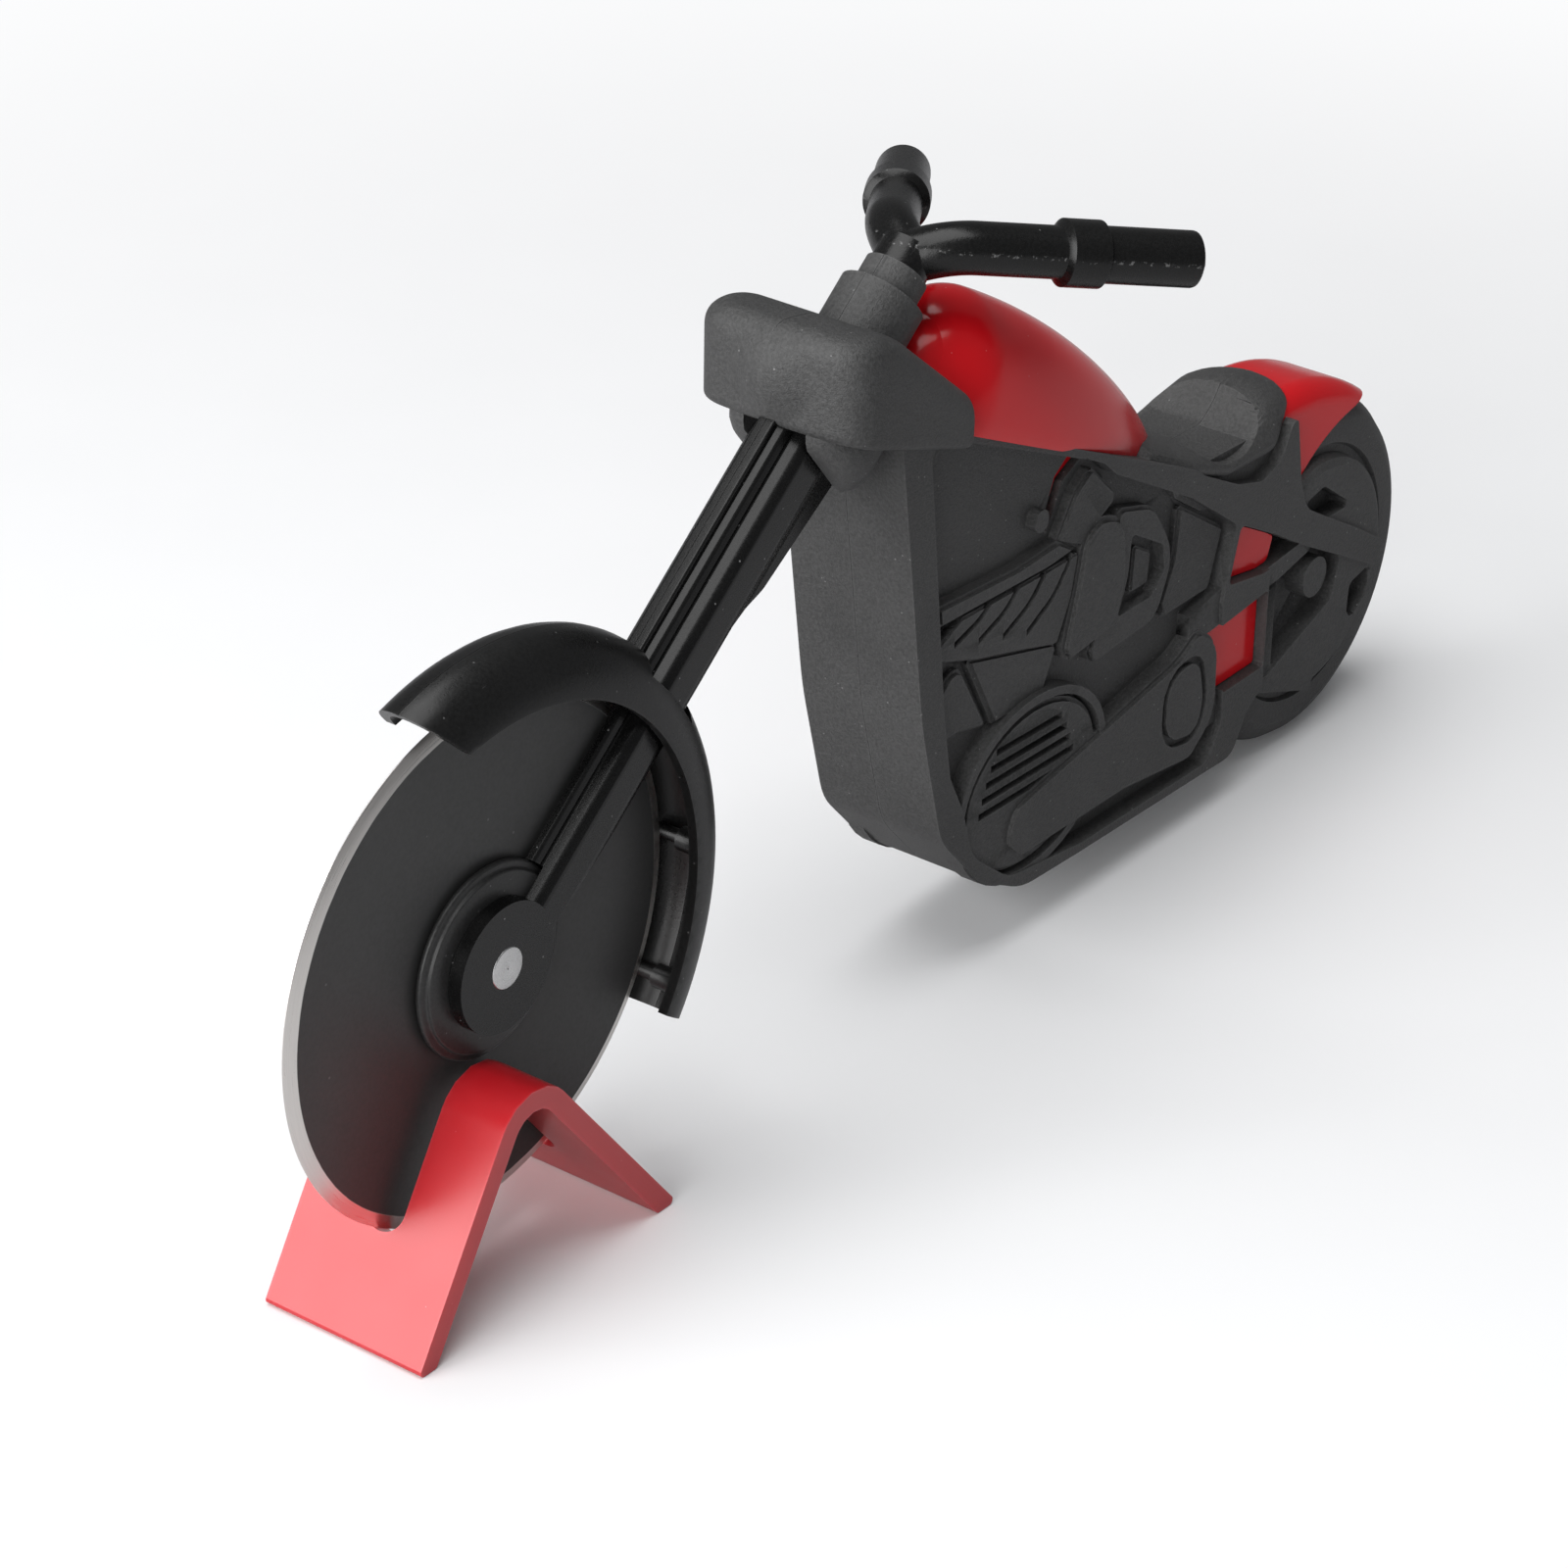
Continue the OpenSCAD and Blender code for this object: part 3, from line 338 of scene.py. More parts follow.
wheel = {                               # mm, about the axle
    "bevel": 1.7,                       # width of the bare ground edge
    "halfThick": 0.65,
    "halfTip": 0.05,
    "bushRadius": 4.5,
    "boreRadius": 2.65,
    "washer": {"radius": 12.0, "stepRadius": 11.0, "inner": 0.95, "step": 1.79, "outer": 2.35},
    "pin": {"core": 0.02, "radius": 2.6, "halfLength": 4.4},
}

handlebar = {
    "root": (-0.25, 0.0, 97.9),         # mm, where the two arms meet
    "knee": (2.95, 4.6, 99.4),
    "end": (28.85, 21.5, 93.9),
    "barRadius": 3.2,
    "gripRadius": 3.45,
    "collarRadius": 4.1,
    "gripLength": 12.5,                 # from the end to the collar
    "collarLength": 5.3,
    "bendRadius": 10.0,
    "rounding": 0.55,
    "step": 0.26,                       # spacing of the rings along the bar
    "flash": 0.05,                      # height of the parting line
    "flashCore": 0.05,                  # half width of its crest
    "flashEdge": 0.26,                  # half width of its foot
    "hubExtra": 0.12,                   # the joint of the two arms, over the bar's radius
}
knee, barEnd = (Vector(handlebar[k]) for k in ("knee", "end"))
partingNormal = (barEnd - knee).cross(Vector((0, 1, 0))).normalized()
partingPlane = (metres(knee), tuple(partingNormal))

finishes = {
    "shell": blackPlastic("shellBlack", blackFinish["shell"]),
    "fork": blackPlastic("forkBlack", blackFinish["fork"]),
    "fender": blackPlastic("fenderBlack", blackFinish["fender"]),
    "hub": blackPlastic("hubBlack", blackFinish["hub"]),
    "bars": blackPlastic("barsBlack", blackFinish["bars"], partingPlane),
    "red": redGloss("coreRed", redFinish),
    "rest": clearRed("restRed", restFinish),
    "blade": bladeFinish("bladeCoating", bladeCoat, axle, rimRadius - wheel["bevel"] * mm),
    "pin": turnedSteel("pinSteel", axle, 9000.0),
    "screws": turnedSteel("screwSteel", axle, 3000.0),
    "bush": bushNylon("bushNylon"),
}
print("finishes ready")


class ShapeTree(NodeMaker):
    # a geometry tree with a named input for each size, in metres
    def __init__(self, name):
        super().__init__(bpy.data.node_groups.new(name, "GeometryNodeTree"))
        self.tree.is_modifier = True
        sockets = self.tree.interface
        sockets.new_socket("Geometry", in_out="INPUT", socket_type="NodeSocketGeometry")
        sockets.new_socket("Geometry", in_out="OUTPUT", socket_type="NodeSocketGeometry")
        self.start = self.add("NodeGroupInput")
        self.values = {}

    def size(self, name, value, kind="Float"):
        sockets = self.tree.interface
        made = sockets.new_socket(name, in_out="INPUT", socket_type="NodeSocket" + kind)
        self.values[made.identifier] = value
        return self.start.outputs[name]

    def vec(self, x=0.0, y=0.0, z=0.0):
        return self.add("ShaderNodeCombineXYZ", {0: x, 1: y, 2: z}).outputs[0]

    def pathThrough(self, points, closed, bend, bendSteps=8):
        # a poly curve through the given points with its corners rounded
        line = self.add("GeometryNodeMeshLine", {"Count": len(points)})
        pick = self.add("GeometryNodeIndexSwitch", data_type="VECTOR")
        while len(pick.index_switch_items) < len(points):
            pick.index_switch_items.new()
        self.put(pick, "Index", self.add("GeometryNodeInputIndex").outputs[0])
        for k, point in enumerate(points):
            self.put(pick, k + 1, point)
        placed = self.add("GeometryNodeSetPosition",
                          {"Geometry": line.outputs[0], "Position": pick.outputs[0]})
        curve = self.add("GeometryNodeMeshToCurve", {0: placed.outputs[0]})
        ring = self.add("GeometryNodeSetSplineCyclic", {0: curve.outputs[0], "Cyclic": closed})
        soft = self.add("GeometryNodeFilletCurve", {0: ring.outputs[0], "Radius": bend,
                                                    "Count": bendSteps}, mode="POLY")
        self.put(soft, "Limit Radius", True)
        return soft.outputs[0]

    def circle(self, radius, steps):
        return self.add("GeometryNodeCurvePrimitiveCircle",
                        {"Radius": radius, "Resolution": steps}, mode="RADIUS").outputs[0]

    def rod(self, label, v, steps):
        ends = {end: self.size(label + " " + end, metres(v[end.lower()]), "Vector")
                for end in ("Start", "End")}
        line = self.add("GeometryNodeCurvePrimitiveLine", ends)
        outline = self.circle(self.size(label + " Radius", v["radius"] * mm), steps)
        return self.add("GeometryNodeCurveToMesh", {"Curve": line.outputs[0], "Fill Caps": True,
                                                    "Profile Curve": outline}).outputs[0]

    def joined(self, *parts):
        node = self.add("GeometryNodeJoinGeometry")
        for part in parts:
            self.links.new(part, node.inputs[0])
        return node.outputs[0]

    def finishWith(self, geometry, mat):
        real = self.add("GeometryNodeRealizeInstances", {0: geometry})
        paint = self.add("GeometryNodeSetMaterial", {0: real.outputs[0]})
        self.put(paint, "Material", self.size("Material", mat, "Material"))
        out = self.add("NodeGroupOutput")
        self.links.new(paint.outputs[0], out.inputs[0])


def makeFrom(tree, name, mat, base=None):
    # runs the tree once and keeps the plain mesh
    holder = bpy.data.objects.new(name, base or bpy.data.meshes.new(name))
    bpy.context.scene.collection.objects.link(holder)
    modifier = holder.modifiers.new("shape", "NODES")
    modifier.node_group = tree.tree
    for identifier, value in tree.values.items():
        modifier[identifier] = value
    deps = bpy.context.evaluated_depsgraph_get()
    made = bpy.data.meshes.new_from_object(holder.evaluated_get(deps))
    holder.modifiers.clear()
    holder.data = made
    made.materials.clear()
    made.materials.append(mat)
    bm = bmesh.new()
    bm.from_mesh(made)
    bmesh.ops.remove_doubles(bm, verts=bm.verts, dist=1e-6)
    bmesh.ops.recalc_face_normals(bm, faces=bm.faces)
    for face in bm.faces:
        face.smooth = True
        face.material_index = 0
    bm.to_mesh(made)
    bm.free()
    return holder


def turned(name, sizes, profile, centre, mat, edge=0.06, steps=192):
    # a body of revolution about an axis along Y; the profile names two sizes for each corner
    t = ShapeTree(name)
    sockets = {key: t.size(key, value * mm) for key, value in sizes.items()}
    reach = t.size("Path Radius", max(sizes[p[0]] for p in profile) * mm)
    corners = [t.vec(t.math("SUBTRACT", sockets[r], reach), sockets[h]) for r, h in profile]
    outline = t.pathThrough(corners, True, t.size("Edge Rounding", edge * mm), 3)
    lathe = t.add("GeometryNodeCurveToMesh", {"Curve": t.circle(reach, t.size("Steps", steps, "Int")),
                                              "Profile Curve": outline})
    placed = t.add("GeometryNodeTransform", {
        0: lathe.outputs[0], "Rotation": (math.radians(90), 0.0, 0.0),
        "Translation": t.size("Centre", tuple(centre), "Vector")})
    t.finishWith(placed.outputs[0], mat)
    piece = makeFrom(t, name, mat)
    piece.data.set_sharp_from_angle(angle=math.radians(40))
    return piece


# the plug that closes the top of the neck
stem = {"start": (-2.0, 0.0, 96.67), "end": (0.56, 0.0, 98.73), "radius": 3.6}


def buildHandlebar(v, mat):
    t = ShapeTree("handlebarSweep")
    n = {key: t.size(key, value * mm)
         for key, value in v.items() if not isinstance(value, tuple)}
    root, kneePoint, end = (t.size(key, metres(v[key]), "Vector") for key in ("root", "knee", "end"))
    path = t.pathThrough([root, kneePoint, end], False, n["bendRadius"], 24)
    fine = t.add("GeometryNodeResampleCurve", {"Curve": path, "Length": n["step"]}, mode="LENGTH")
    along = t.add("GeometryNodeSplineParameter").outputs["Length"]
    whole = t.add("GeometryNodeSplineLength").outputs["Length"]
    left = t.math("SUBTRACT", whole, along)

    def past(edge):
        return t.remap(left, t.math("SUBTRACT", edge, n["step"]), t.math("ADD", edge, n["step"]),
                       0, 1, True)

    collarEnd = t.math("ADD", n["gripLength"], n["collarLength"])
    onGrip = t.math("SUBTRACT", 1.0, past(n["gripLength"]))
    onCollar = t.math("SUBTRACT", past(n["gripLength"]), past(collarEnd))
    gripExtra = t.math("MULTIPLY", onGrip, t.math("SUBTRACT", n["gripRadius"], n["barRadius"]))
    collarExtra = t.math("MULTIPLY", onCollar, t.math("SUBTRACT", n["collarRadius"], n["barRadius"]))
    radius = t.math("ADD", n["barRadius"], t.math("ADD", gripExtra, collarExtra))
    # the end face has a rounded edge
    into = t.math("MAXIMUM", t.math("SUBTRACT", 1.0, t.math("DIVIDE", left, n["rounding"])), 0.0)
    drop = t.math("SUBTRACT", 1.0, t.math("SQRT", t.math("MAXIMUM",
                  t.math("SUBTRACT", 1.0, t.math("MULTIPLY", into, into)), 0.0)))
    radius = t.math("SUBTRACT", radius, t.math("MULTIPLY", drop, n["rounding"]))
    sized = t.add("GeometryNodeSetCurveRadius", {0: fine.outputs[0], "Radius": radius})
    arm = t.add("GeometryNodeCurveToMesh", {"Curve": sized.outputs[0],
                                            "Profile Curve": t.circle(1.0, 48), "Fill Caps": True})
    t.put(arm, "Scale", t.add("GeometryNodeInputRadius").outputs[0])
    # the parting line stands a little proud of the bar
    at = t.add("GeometryNodeInputPosition").outputs[0]
    away = t.vectorMath("SUBTRACT", at, kneePoint).outputs[0]
    normal = t.size("Parting Normal", tuple(partingNormal), "Vector")
    far = t.math("ABSOLUTE", t.vectorMath("DOT_PRODUCT", away, normal).outputs["Value"])
    ridge = t.remap(far, n["flashCore"], n["flashEdge"], n["flash"], 0, True)
    push = t.add("ShaderNodeVectorMath", {0: t.add("GeometryNodeInputNormal").outputs[0],
                                          "Scale": ridge}, operation="SCALE").outputs[0]
    lined = t.add("GeometryNodeSetPosition", {"Geometry": arm.outputs[0], "Offset": push})
    other = t.add("GeometryNodeTransform", {0: lined.outputs[0], "Scale": (1.0, -1.0, 1.0)})
    flipped = t.add("GeometryNodeFlipFaces", {0: other.outputs[0]})
    ball = t.add("GeometryNodeMeshUVSphere", {"Segments": 48, "Rings": 24,
                                              "Radius": t.math("ADD", n["barRadius"], n["hubExtra"])})
    hub = t.add("GeometryNodeTransform", {0: ball.outputs[0], "Translation": root})
    both = t.add("GeometryNodeMeshBoolean", operation="UNION", solver="EXACT")
    for part in (lined.outputs[0], flipped.outputs[0], hub.outputs[0], t.rod("Stem", stem, 64)):
        t.links.new(part, both.inputs["Mesh 2"])
    t.finishWith(both.outputs[0], mat)
    piece = makeFrom(t, "handlebarMoulded", mat)
    piece.data.set_sharp_from_angle(angle=math.radians(44))
    return piece


def buildScrews(v, mat):
    # one screw on each point of the base mesh, heads on the right side
    t = ShapeTree("screwSet")
    n = {key: t.size(key, value * mm) for key, value in v.items()}
    head = t.add("GeometryNodeMeshCylinder", {"Vertices": 48, "Radius": n["headRadius"],
                                              "Depth": n["headHeight"]})
    cut = t.add("GeometryNodeMeshBoolean", {"Mesh 1": head.outputs[0]}, operation="DIFFERENCE",
                solver="EXACT")
    lift = t.vec(0.0, 0.0, t.math("MULTIPLY", n["headHeight"], 0.5))
    for turn in (0.0, 90.0):
        size = t.vec(n["slotLength"], n["slotWidth"], n["slotDepth"])
        slot = t.add("GeometryNodeMeshCube", {"Size": size})
        put = t.add("GeometryNodeTransform", {0: slot.outputs[0], "Translation": lift,
                                              "Rotation": (0.0, 0.0, math.radians(turn))})
        t.links.new(put.outputs[0], cut.inputs["Mesh 2"])
    shank = t.add("GeometryNodeMeshCylinder", {"Vertices": 32, "Radius": n["shankRadius"],
                                               "Depth": n["shankLength"]})
    down = t.math("MULTIPLY", t.math("ADD", n["headHeight"], n["shankLength"]), -0.5)
    low = t.add("GeometryNodeTransform", {0: shank.outputs[0], "Translation": t.vec(0.0, 0.0, down)})
    screw = t.joined(cut.outputs[0], low.outputs[0])
    points = t.add("GeometryNodeMeshToPoints", {0: t.start.outputs["Geometry"]})
    spread = t.add("GeometryNodeInstanceOnPoints", {"Points": points.outputs[0], "Instance": screw,
                                                    "Rotation": (math.radians(-90), 0.0, 0.0)})
    t.finishWith(spread.outputs[0], mat)
    centres = bpy.data.meshes.new("screwCentres")
    centres.from_pydata(screwHeads(v), [], [])
    piece = makeFrom(t, "shellScrews", mat, centres)
    piece.data.set_sharp_from_angle(angle=math.radians(40))
    return piece


def screwHeads(v):
    # the middle of each screw head, from the separate shells of the fixed model
    bm = bmesh.new()
    bm.from_mesh(frame["nodes"]["body_screws"].data)
    bmesh.ops.remove_doubles(bm, verts=bm.verts, dist=loose)
    heads, seen = [], set()
    for start in bm.verts:
        if start in seen:
            continue
        shell, todo = [], [start]
        seen.add(start)
        while todo:
            vert = todo.pop()
            shell.append(vert.co.copy())
            for edge in vert.link_edges:
                other = edge.other_vert(vert)
                if other not in seen:
                    seen.add(other)
                    todo.append(other)
        xs, ys, zs = ([c[i] for c in shell] for i in range(3))
        middle = max(ys) - v["headHeight"] * mm / 2
        heads.append(((min(xs) + max(xs)) / 2, middle, (min(zs) + max(zs)) / 2))
    bm.free()
    return heads


tank = {
    "centre": (5.15, 0.0, 78.3),        # mm; the middle of the fullest ring
    "slope": 27.95,                     # degrees the axis falls towards the seat
    "above": 13.65,                     # from the axis up to the crown
    "below": 8.0,                       # from the axis down, where the side turns under
    "width": 10.0,                      # half width at the fullest ring
    "nose": 11.3,
    "tail": 56.0,
    "taper": 0.8,
    "tailFullness": 0.35,               # how much wider the tail is than the plain teardrop
    "floorSlope": 25.26,                # the flat underside
    "floorPoint": (-9.85, 0.0, 82.3),
    "reach": 0.962,                     # share of the tail's length that is kept
    "closing": 0.985,                   # from this share on the rings close to a point
    "rings": 130,
    "around": 112,
}


neck = {"start": (-33.2, 0.0, 71.5), "end": (6.8, 0.0, 103.8), "radius": 5.5}


def buildTank(v, mat):
    # a teardrop: rings along the axis, each an ellipse, cut flat below and hollowed for the neck
    t = ShapeTree("tankTeardrop")
    n = {k: t.size(k, v[k] * mm) for k in ("above", "below", "width", "nose", "tail")}
    taper, full = t.size("taper", v["taper"]), t.size("tailFullness", v["tailFullness"])
    grid = t.add("GeometryNodeMeshGrid", {"Size X": 1.0, "Size Y": 1.0, "Vertices X": v["rings"],
                                          "Vertices Y": v["around"]})
    at = t.add("ShaderNodeSeparateXYZ", {0: t.add("GeometryNodeInputPosition").outputs[0]})
    u = t.math("ADD", at.outputs[0], 0.5)
    # rings crowd together at the blunt nose
    eased = t.math("SUBTRACT", 1.0, t.math("COSINE", t.math("MULTIPLY", u, math.pi / 2)))
    length = t.math("ADD", n["nose"], t.math("MULTIPLY", n["tail"], v["reach"]))
    s = t.math("SUBTRACT", t.math("MULTIPLY", eased, length), n["nose"])
    ahead = t.math("DIVIDE", t.math("MINIMUM", s, 0.0), n["nose"])
    behind = t.math("DIVIDE", t.math("MAXIMUM", s, 0.0), n["tail"])
    bulge = t.math("SUBTRACT", 1.0, t.math("MULTIPLY", ahead, ahead))
    front = t.math("SQRT", t.math("MAXIMUM", bulge, 0.0))
    rear = t.math("POWER", t.math("SUBTRACT", 1.0, t.math("MULTIPLY", behind, behind)), taper)
    shape = t.math("MULTIPLY", front, rear)
    close = t.remap(u, v["closing"], 1.0, 1.0, 0.0)
    shape = t.math("MULTIPLY", shape, t.math("SQRT", close))
    spread = t.math("ADD", 1.0, t.math("MULTIPLY", full, t.math("POWER", behind, 2.0)))
    turn = t.math("MULTIPLY", at.outputs[1], 2 * math.pi)
    up = t.math("COSINE", turn)
    high = t.math("MULTIPLY", t.math("MAXIMUM", up, 0.0), n["above"])
    low = t.math("MULTIPLY", t.math("MINIMUM", up, 0.0), n["below"])
    z = t.math("MULTIPLY", shape, t.math("ADD", high, low))
    wide = t.math("MULTIPLY", t.math("MULTIPLY", shape, n["width"]), spread)
    y = t.math("MULTIPLY", wide, t.math("SINE", turn))
    skin = t.add("GeometryNodeSetPosition", {"Geometry": grid.outputs[0], "Position": t.vec(s, y, z)})
    weld = t.add("GeometryNodeMergeByDistance", {0: skin.outputs[0], "Distance": 0.000004})
    placed = t.add("GeometryNodeTransform", {
        0: weld.outputs[0], "Rotation": (0.0, math.radians(v["slope"]), 0.0),
        "Translation": t.size("centre", metres(v["centre"]), "Vector")})
    cutter = t.add("GeometryNodeMeshCube", {"Size": (0.2, 0.06, 0.04)})
    under = t.add("GeometryNodeTransform", {0: cutter.outputs[0], "Translation": (0.0, 0.0, -0.02)})
    below = t.add("GeometryNodeTransform", {
        0: under.outputs[0], "Rotation": (0.0, math.radians(v["floorSlope"]), 0.0),
        "Translation": t.size("floorPoint", metres(v["floorPoint"]), "Vector")})
    cut = t.add("GeometryNodeMeshBoolean", {"Mesh 1": placed.outputs[0]}, operation="DIFFERENCE",
                solver="FLOAT")
    for part in (below.outputs[0], t.rod("Neck", neck, 64)):
        t.links.new(part, cut.inputs["Mesh 2"])
    t.finishWith(cut.outputs[0], mat)
    piece = makeFrom(t, "tankShell", mat)
    piece.data.set_sharp_from_angle(angle=math.radians(40))
    return piece


# mm of rounding on each piece's sharp edges
rounding = {
    "body_left": 0.24, "body_right": 0.24, "core": 0.3, "fork_left": 0.42, "fork_right": 0.42,
    "fender_left": 0.2, "fender_right": 0.2, "blade_rest": 0.6,
}
block = {
    "softEdge": 0.55,
    "middle": (24.0, 38.0),             # x and z inside the block's outline
    "back": 66.0,
    "side": 9.1,
    "sideMargin": 0.03,
    "flatWall": 0.2,                    # a wall's normal leans to the side by less than this
    "outward": 0.004,                   # m, how clearly a wall has to face away from the middle
}
sharpest = math.radians(32)             # folds above this count as edges to round
loose = 2e-6                            # m, corners closer than this are one


def softEdges(bm):
    # the outer edge of the engine block is softer than the edges of its relief
    found = []
    for edge in bm.edges:
        mid = (edge.verts[0].co + edge.verts[1].co) / 2
        offSide = abs(abs(mid.y) - block["side"] * mm) > block["sideMargin"] * mm
        if offSide or mid.x > block["back"] * mm:
            continue
        walls = [f for f in edge.link_faces if abs(f.normal.y) < block["flatWall"]]
        out = Vector((mid.x - block["middle"][0] * mm, 0, mid.z - block["middle"][1] * mm))
        if len(walls) != 1 or len(edge.link_faces) != 2:
            continue
        if walls[0].normal.dot(out) > block["outward"] and edge.calc_face_angle() > sharpest:
            found.append(edge)
    return found


def smoothMax(a, b, k):
    h = max(k - abs(a - b), 0.0) / k
    return max(a, b) + h * h * k / 4


fairing = {
    "centre": (-4.0, 0.0, 88.0),        # mm; x is measured from the steering head throughout
    "halfWidth": 12.2,
    "front": -16.75,
    "frontCurve": 1.45,                 # how far the front falls back at the sides
    "top": (-16.9, 98.5, -7.4, 97.0),   # the two ends of each edge seen from the side, x and z
    "slope": (-7.4, 97.0, 9.6, 83.0),
    "rear": (9.6, 83.0, 9.4, 76.7),
    "foot": (9.4, 76.64, -16.9, 85.94),
    "corner": 4.4,                      # rounding between the front and the sides
    "crown": 3.6,                       # rounding along the top
    "crest": 1.8,                       # rounding where the top meets the slope
    "tail": 1.6,
    "lip": 1.2,
    "domeAt": (0.0, 91.9),
    "domeRadius": 6.0,
    "domeHeight": 1.7,
    "domeFullness": 1.6,
    "domeFront": -12,                   # the dome grows only on faces ahead of this
    "seamWidth": 0.17,
    "seamDepth": 0.13,
    "seamGap": 0.01,                    # from the middle to each half
    "seamFade": (17.5, 3.0, 0.15),      # where it fades down the front, over how much, and to what
    "seamLow": 84,                      # no seam below this
    "headX": -9.85,                     # the steering head in the frame
    "cuts": 58,
    "searchReach": 30.0,                # from the centre, farther than any point of the skin
    "searchSteps": 18,
    "sinkX": (-20, 10.5), "sinkZ": (76, 99.2),      # the part of the shell that lies under the skin
    "sinkFrom": 1.1,                    # the shell is moved where it is shallower than this
    "sinkTo": 1.15,
    "neckSleeve": 1.0,                  # around the neck it moves along the neck
    "neckStandOff": 0.8,
}


def skinDistance(p, v, withFoot=True):
    # distance outside the soft fairing, in mm
    x, y, z = p

    def past(line):
        x0, z0, x1, z1 = line
        dx, dz = x1 - x0, z1 - z0
        return ((x - x0) * -dz + (z - z0) * dx) / math.hypot(dx, dz)

    front = v["front"] + v["frontCurve"] * (y / v["halfWidth"]) ** 2 - x
    plan = smoothMax(abs(y) - v["halfWidth"], front, v["corner"])
    crest = smoothMax(past(v["top"]), past(v["slope"]), v["crest"])
    form = smoothMax(plan, smoothMax(crest, past(v["rear"]), v["tail"]), v["crown"])
    return smoothMax(form, past(v["foot"]), v["lip"]) if withFoot else form


def skinSlope(p, v):
    step = 0.05
    ways = (Vector((step, 0, 0)), Vector((0, step, 0)), Vector((0, 0, step)))
    rise = [skinDistance(p + d, v, False) - skinDistance(p - d, v, False) for d in ways]
    return Vector(rise).normalized()


def fairingSkin(v):
    # a cube grid blown up from the centre until it meets the soft form
    bm = bmesh.new()
    bmesh.ops.create_cube(bm, size=2)
    bmesh.ops.subdivide_edges(bm, edges=bm.edges[:], cuts=v["cuts"], use_grid_fill=True)
    for vert in bm.verts:
        way = Vector([math.tan(c * math.pi / 4) for c in vert.co]).normalized()
        near, far = 0.0, v["searchReach"]
        for _ in range(v["searchSteps"]):
            half = (near + far) / 2
            if skinDistance(Vector(v["centre"]) + way * half, v) < 0:
                near = half
            else:
                far = half
        p = Vector(v["centre"]) + way * near
        t = math.hypot(p.y - v["domeAt"][0], p.z - v["domeAt"][1]) / v["domeRadius"]
        if t < 1 and p.x < v["domeFront"]:
            p.x -= v["domeHeight"] * (1 - t * t) ** v["domeFullness"]
        vert.co = Vector((p.x + v["headX"], p.y, p.z)) * mm
    return bm


def fairingHalf(skin, v, side, name, mat):
    bm = skin.copy()
    for y in (v["seamWidth"], v["seamGap"]):
        bmesh.ops.bisect_plane(bm, geom=bm.verts[:] + bm.edges[:] + bm.faces[:],
                               plane_co=(0, side * y * mm, 0), plane_no=(0, side, 0), dist=1e-8,
                               clear_inner=y == v["seamGap"])
    # the parting line is deep over the crown and fades down the front
    fadeAt, fadeOver, least = v["seamFade"]
    for vert in bm.verts:
        if abs(abs(vert.co.y) - v["seamGap"] * mm) < 1e-7:
            x, z = vert.co.x / mm - v["headX"], vert.co.z / mm
            share = min(max((x + fadeAt) / fadeOver, least), 1.0) if z > v["seamLow"] else 0.0
            g = skinSlope(Vector((x, v["seamGap"], z)), v)
            vert.co -= Vector((g.x, 0, g.z)) * v["seamDepth"] * share * mm
    bmesh.ops.holes_fill(bm, edges=[e for e in bm.edges if e.is_boundary])
    bmesh.ops.recalc_face_normals(bm, faces=bm.faces[:])
    for face in bm.faces:
        face.smooth = True
    mesh = bpy.data.meshes.new(name)
    bm.to_mesh(mesh)
    bm.free()
    mesh.materials.append(mat)
    mesh.set_sharp_from_angle(angle=math.radians(40))
    piece = bpy.data.objects.new(name, mesh)
    bpy.context.scene.collection.objects.link(piece)
    return piece


def sinkFairing(bm, v):
    # the plain fairing of the shell lies under the soft skin
    axis = (Vector(neck["end"]) - Vector(neck["start"])).normalized()
    for vert in bm.verts:
        p = Vector((vert.co.x / mm - v["headX"], vert.co.y / mm, vert.co.z / mm))
        if not (v["sinkX"][0] < p.x < v["sinkX"][1] and v["sinkZ"][0] < p.z < v["sinkZ"][1]):
            continue
        depth = skinDistance(p, v, False)
        away = vert.co / mm - Vector(neck["start"])
        byNeck = (away - axis * away.dot(axis)).length < neck["radius"] + v["neckSleeve"]
        if depth < -v["sinkFrom"] or (byNeck and depth > v["neckStandOff"]):
            continue
        way = axis if byNeck else skinSlope(p, v)
        q = p.copy()
        for _ in range(8):
            q -= way * (skinDistance(q, v, False) + v["sinkTo"])
        vert.co += Vector((q.x - p.x, q.y - p.y if abs(p.y) > 0.05 else 0, q.z - p.z)) * mm


plainTank = {"floorAt": 83.4, "back": 54, "shrink": 0.93}    # mm, and a share of its size


def sinkTank(bm, v):
    # the plain tank of the core lies under the finished tank shell
    axisX, axisZ = (tank["centre"][k] * mm for k in (0, 2))
    fall, floorFall = (math.tan(math.radians(tank[k])) for k in ("slope", "floorSlope"))
    for vert in bm.verts:
        line = v["floorAt"] * mm - (vert.co.x - fairing["headX"] * mm) * floorFall
        if vert.co.z > line and vert.co.x < v["back"] * mm:
            middle = axisZ - (vert.co.x - axisX) * fall
            vert.co.y *= v["shrink"]
            vert.co.z = middle + (vert.co.z - middle) * v["shrink"]


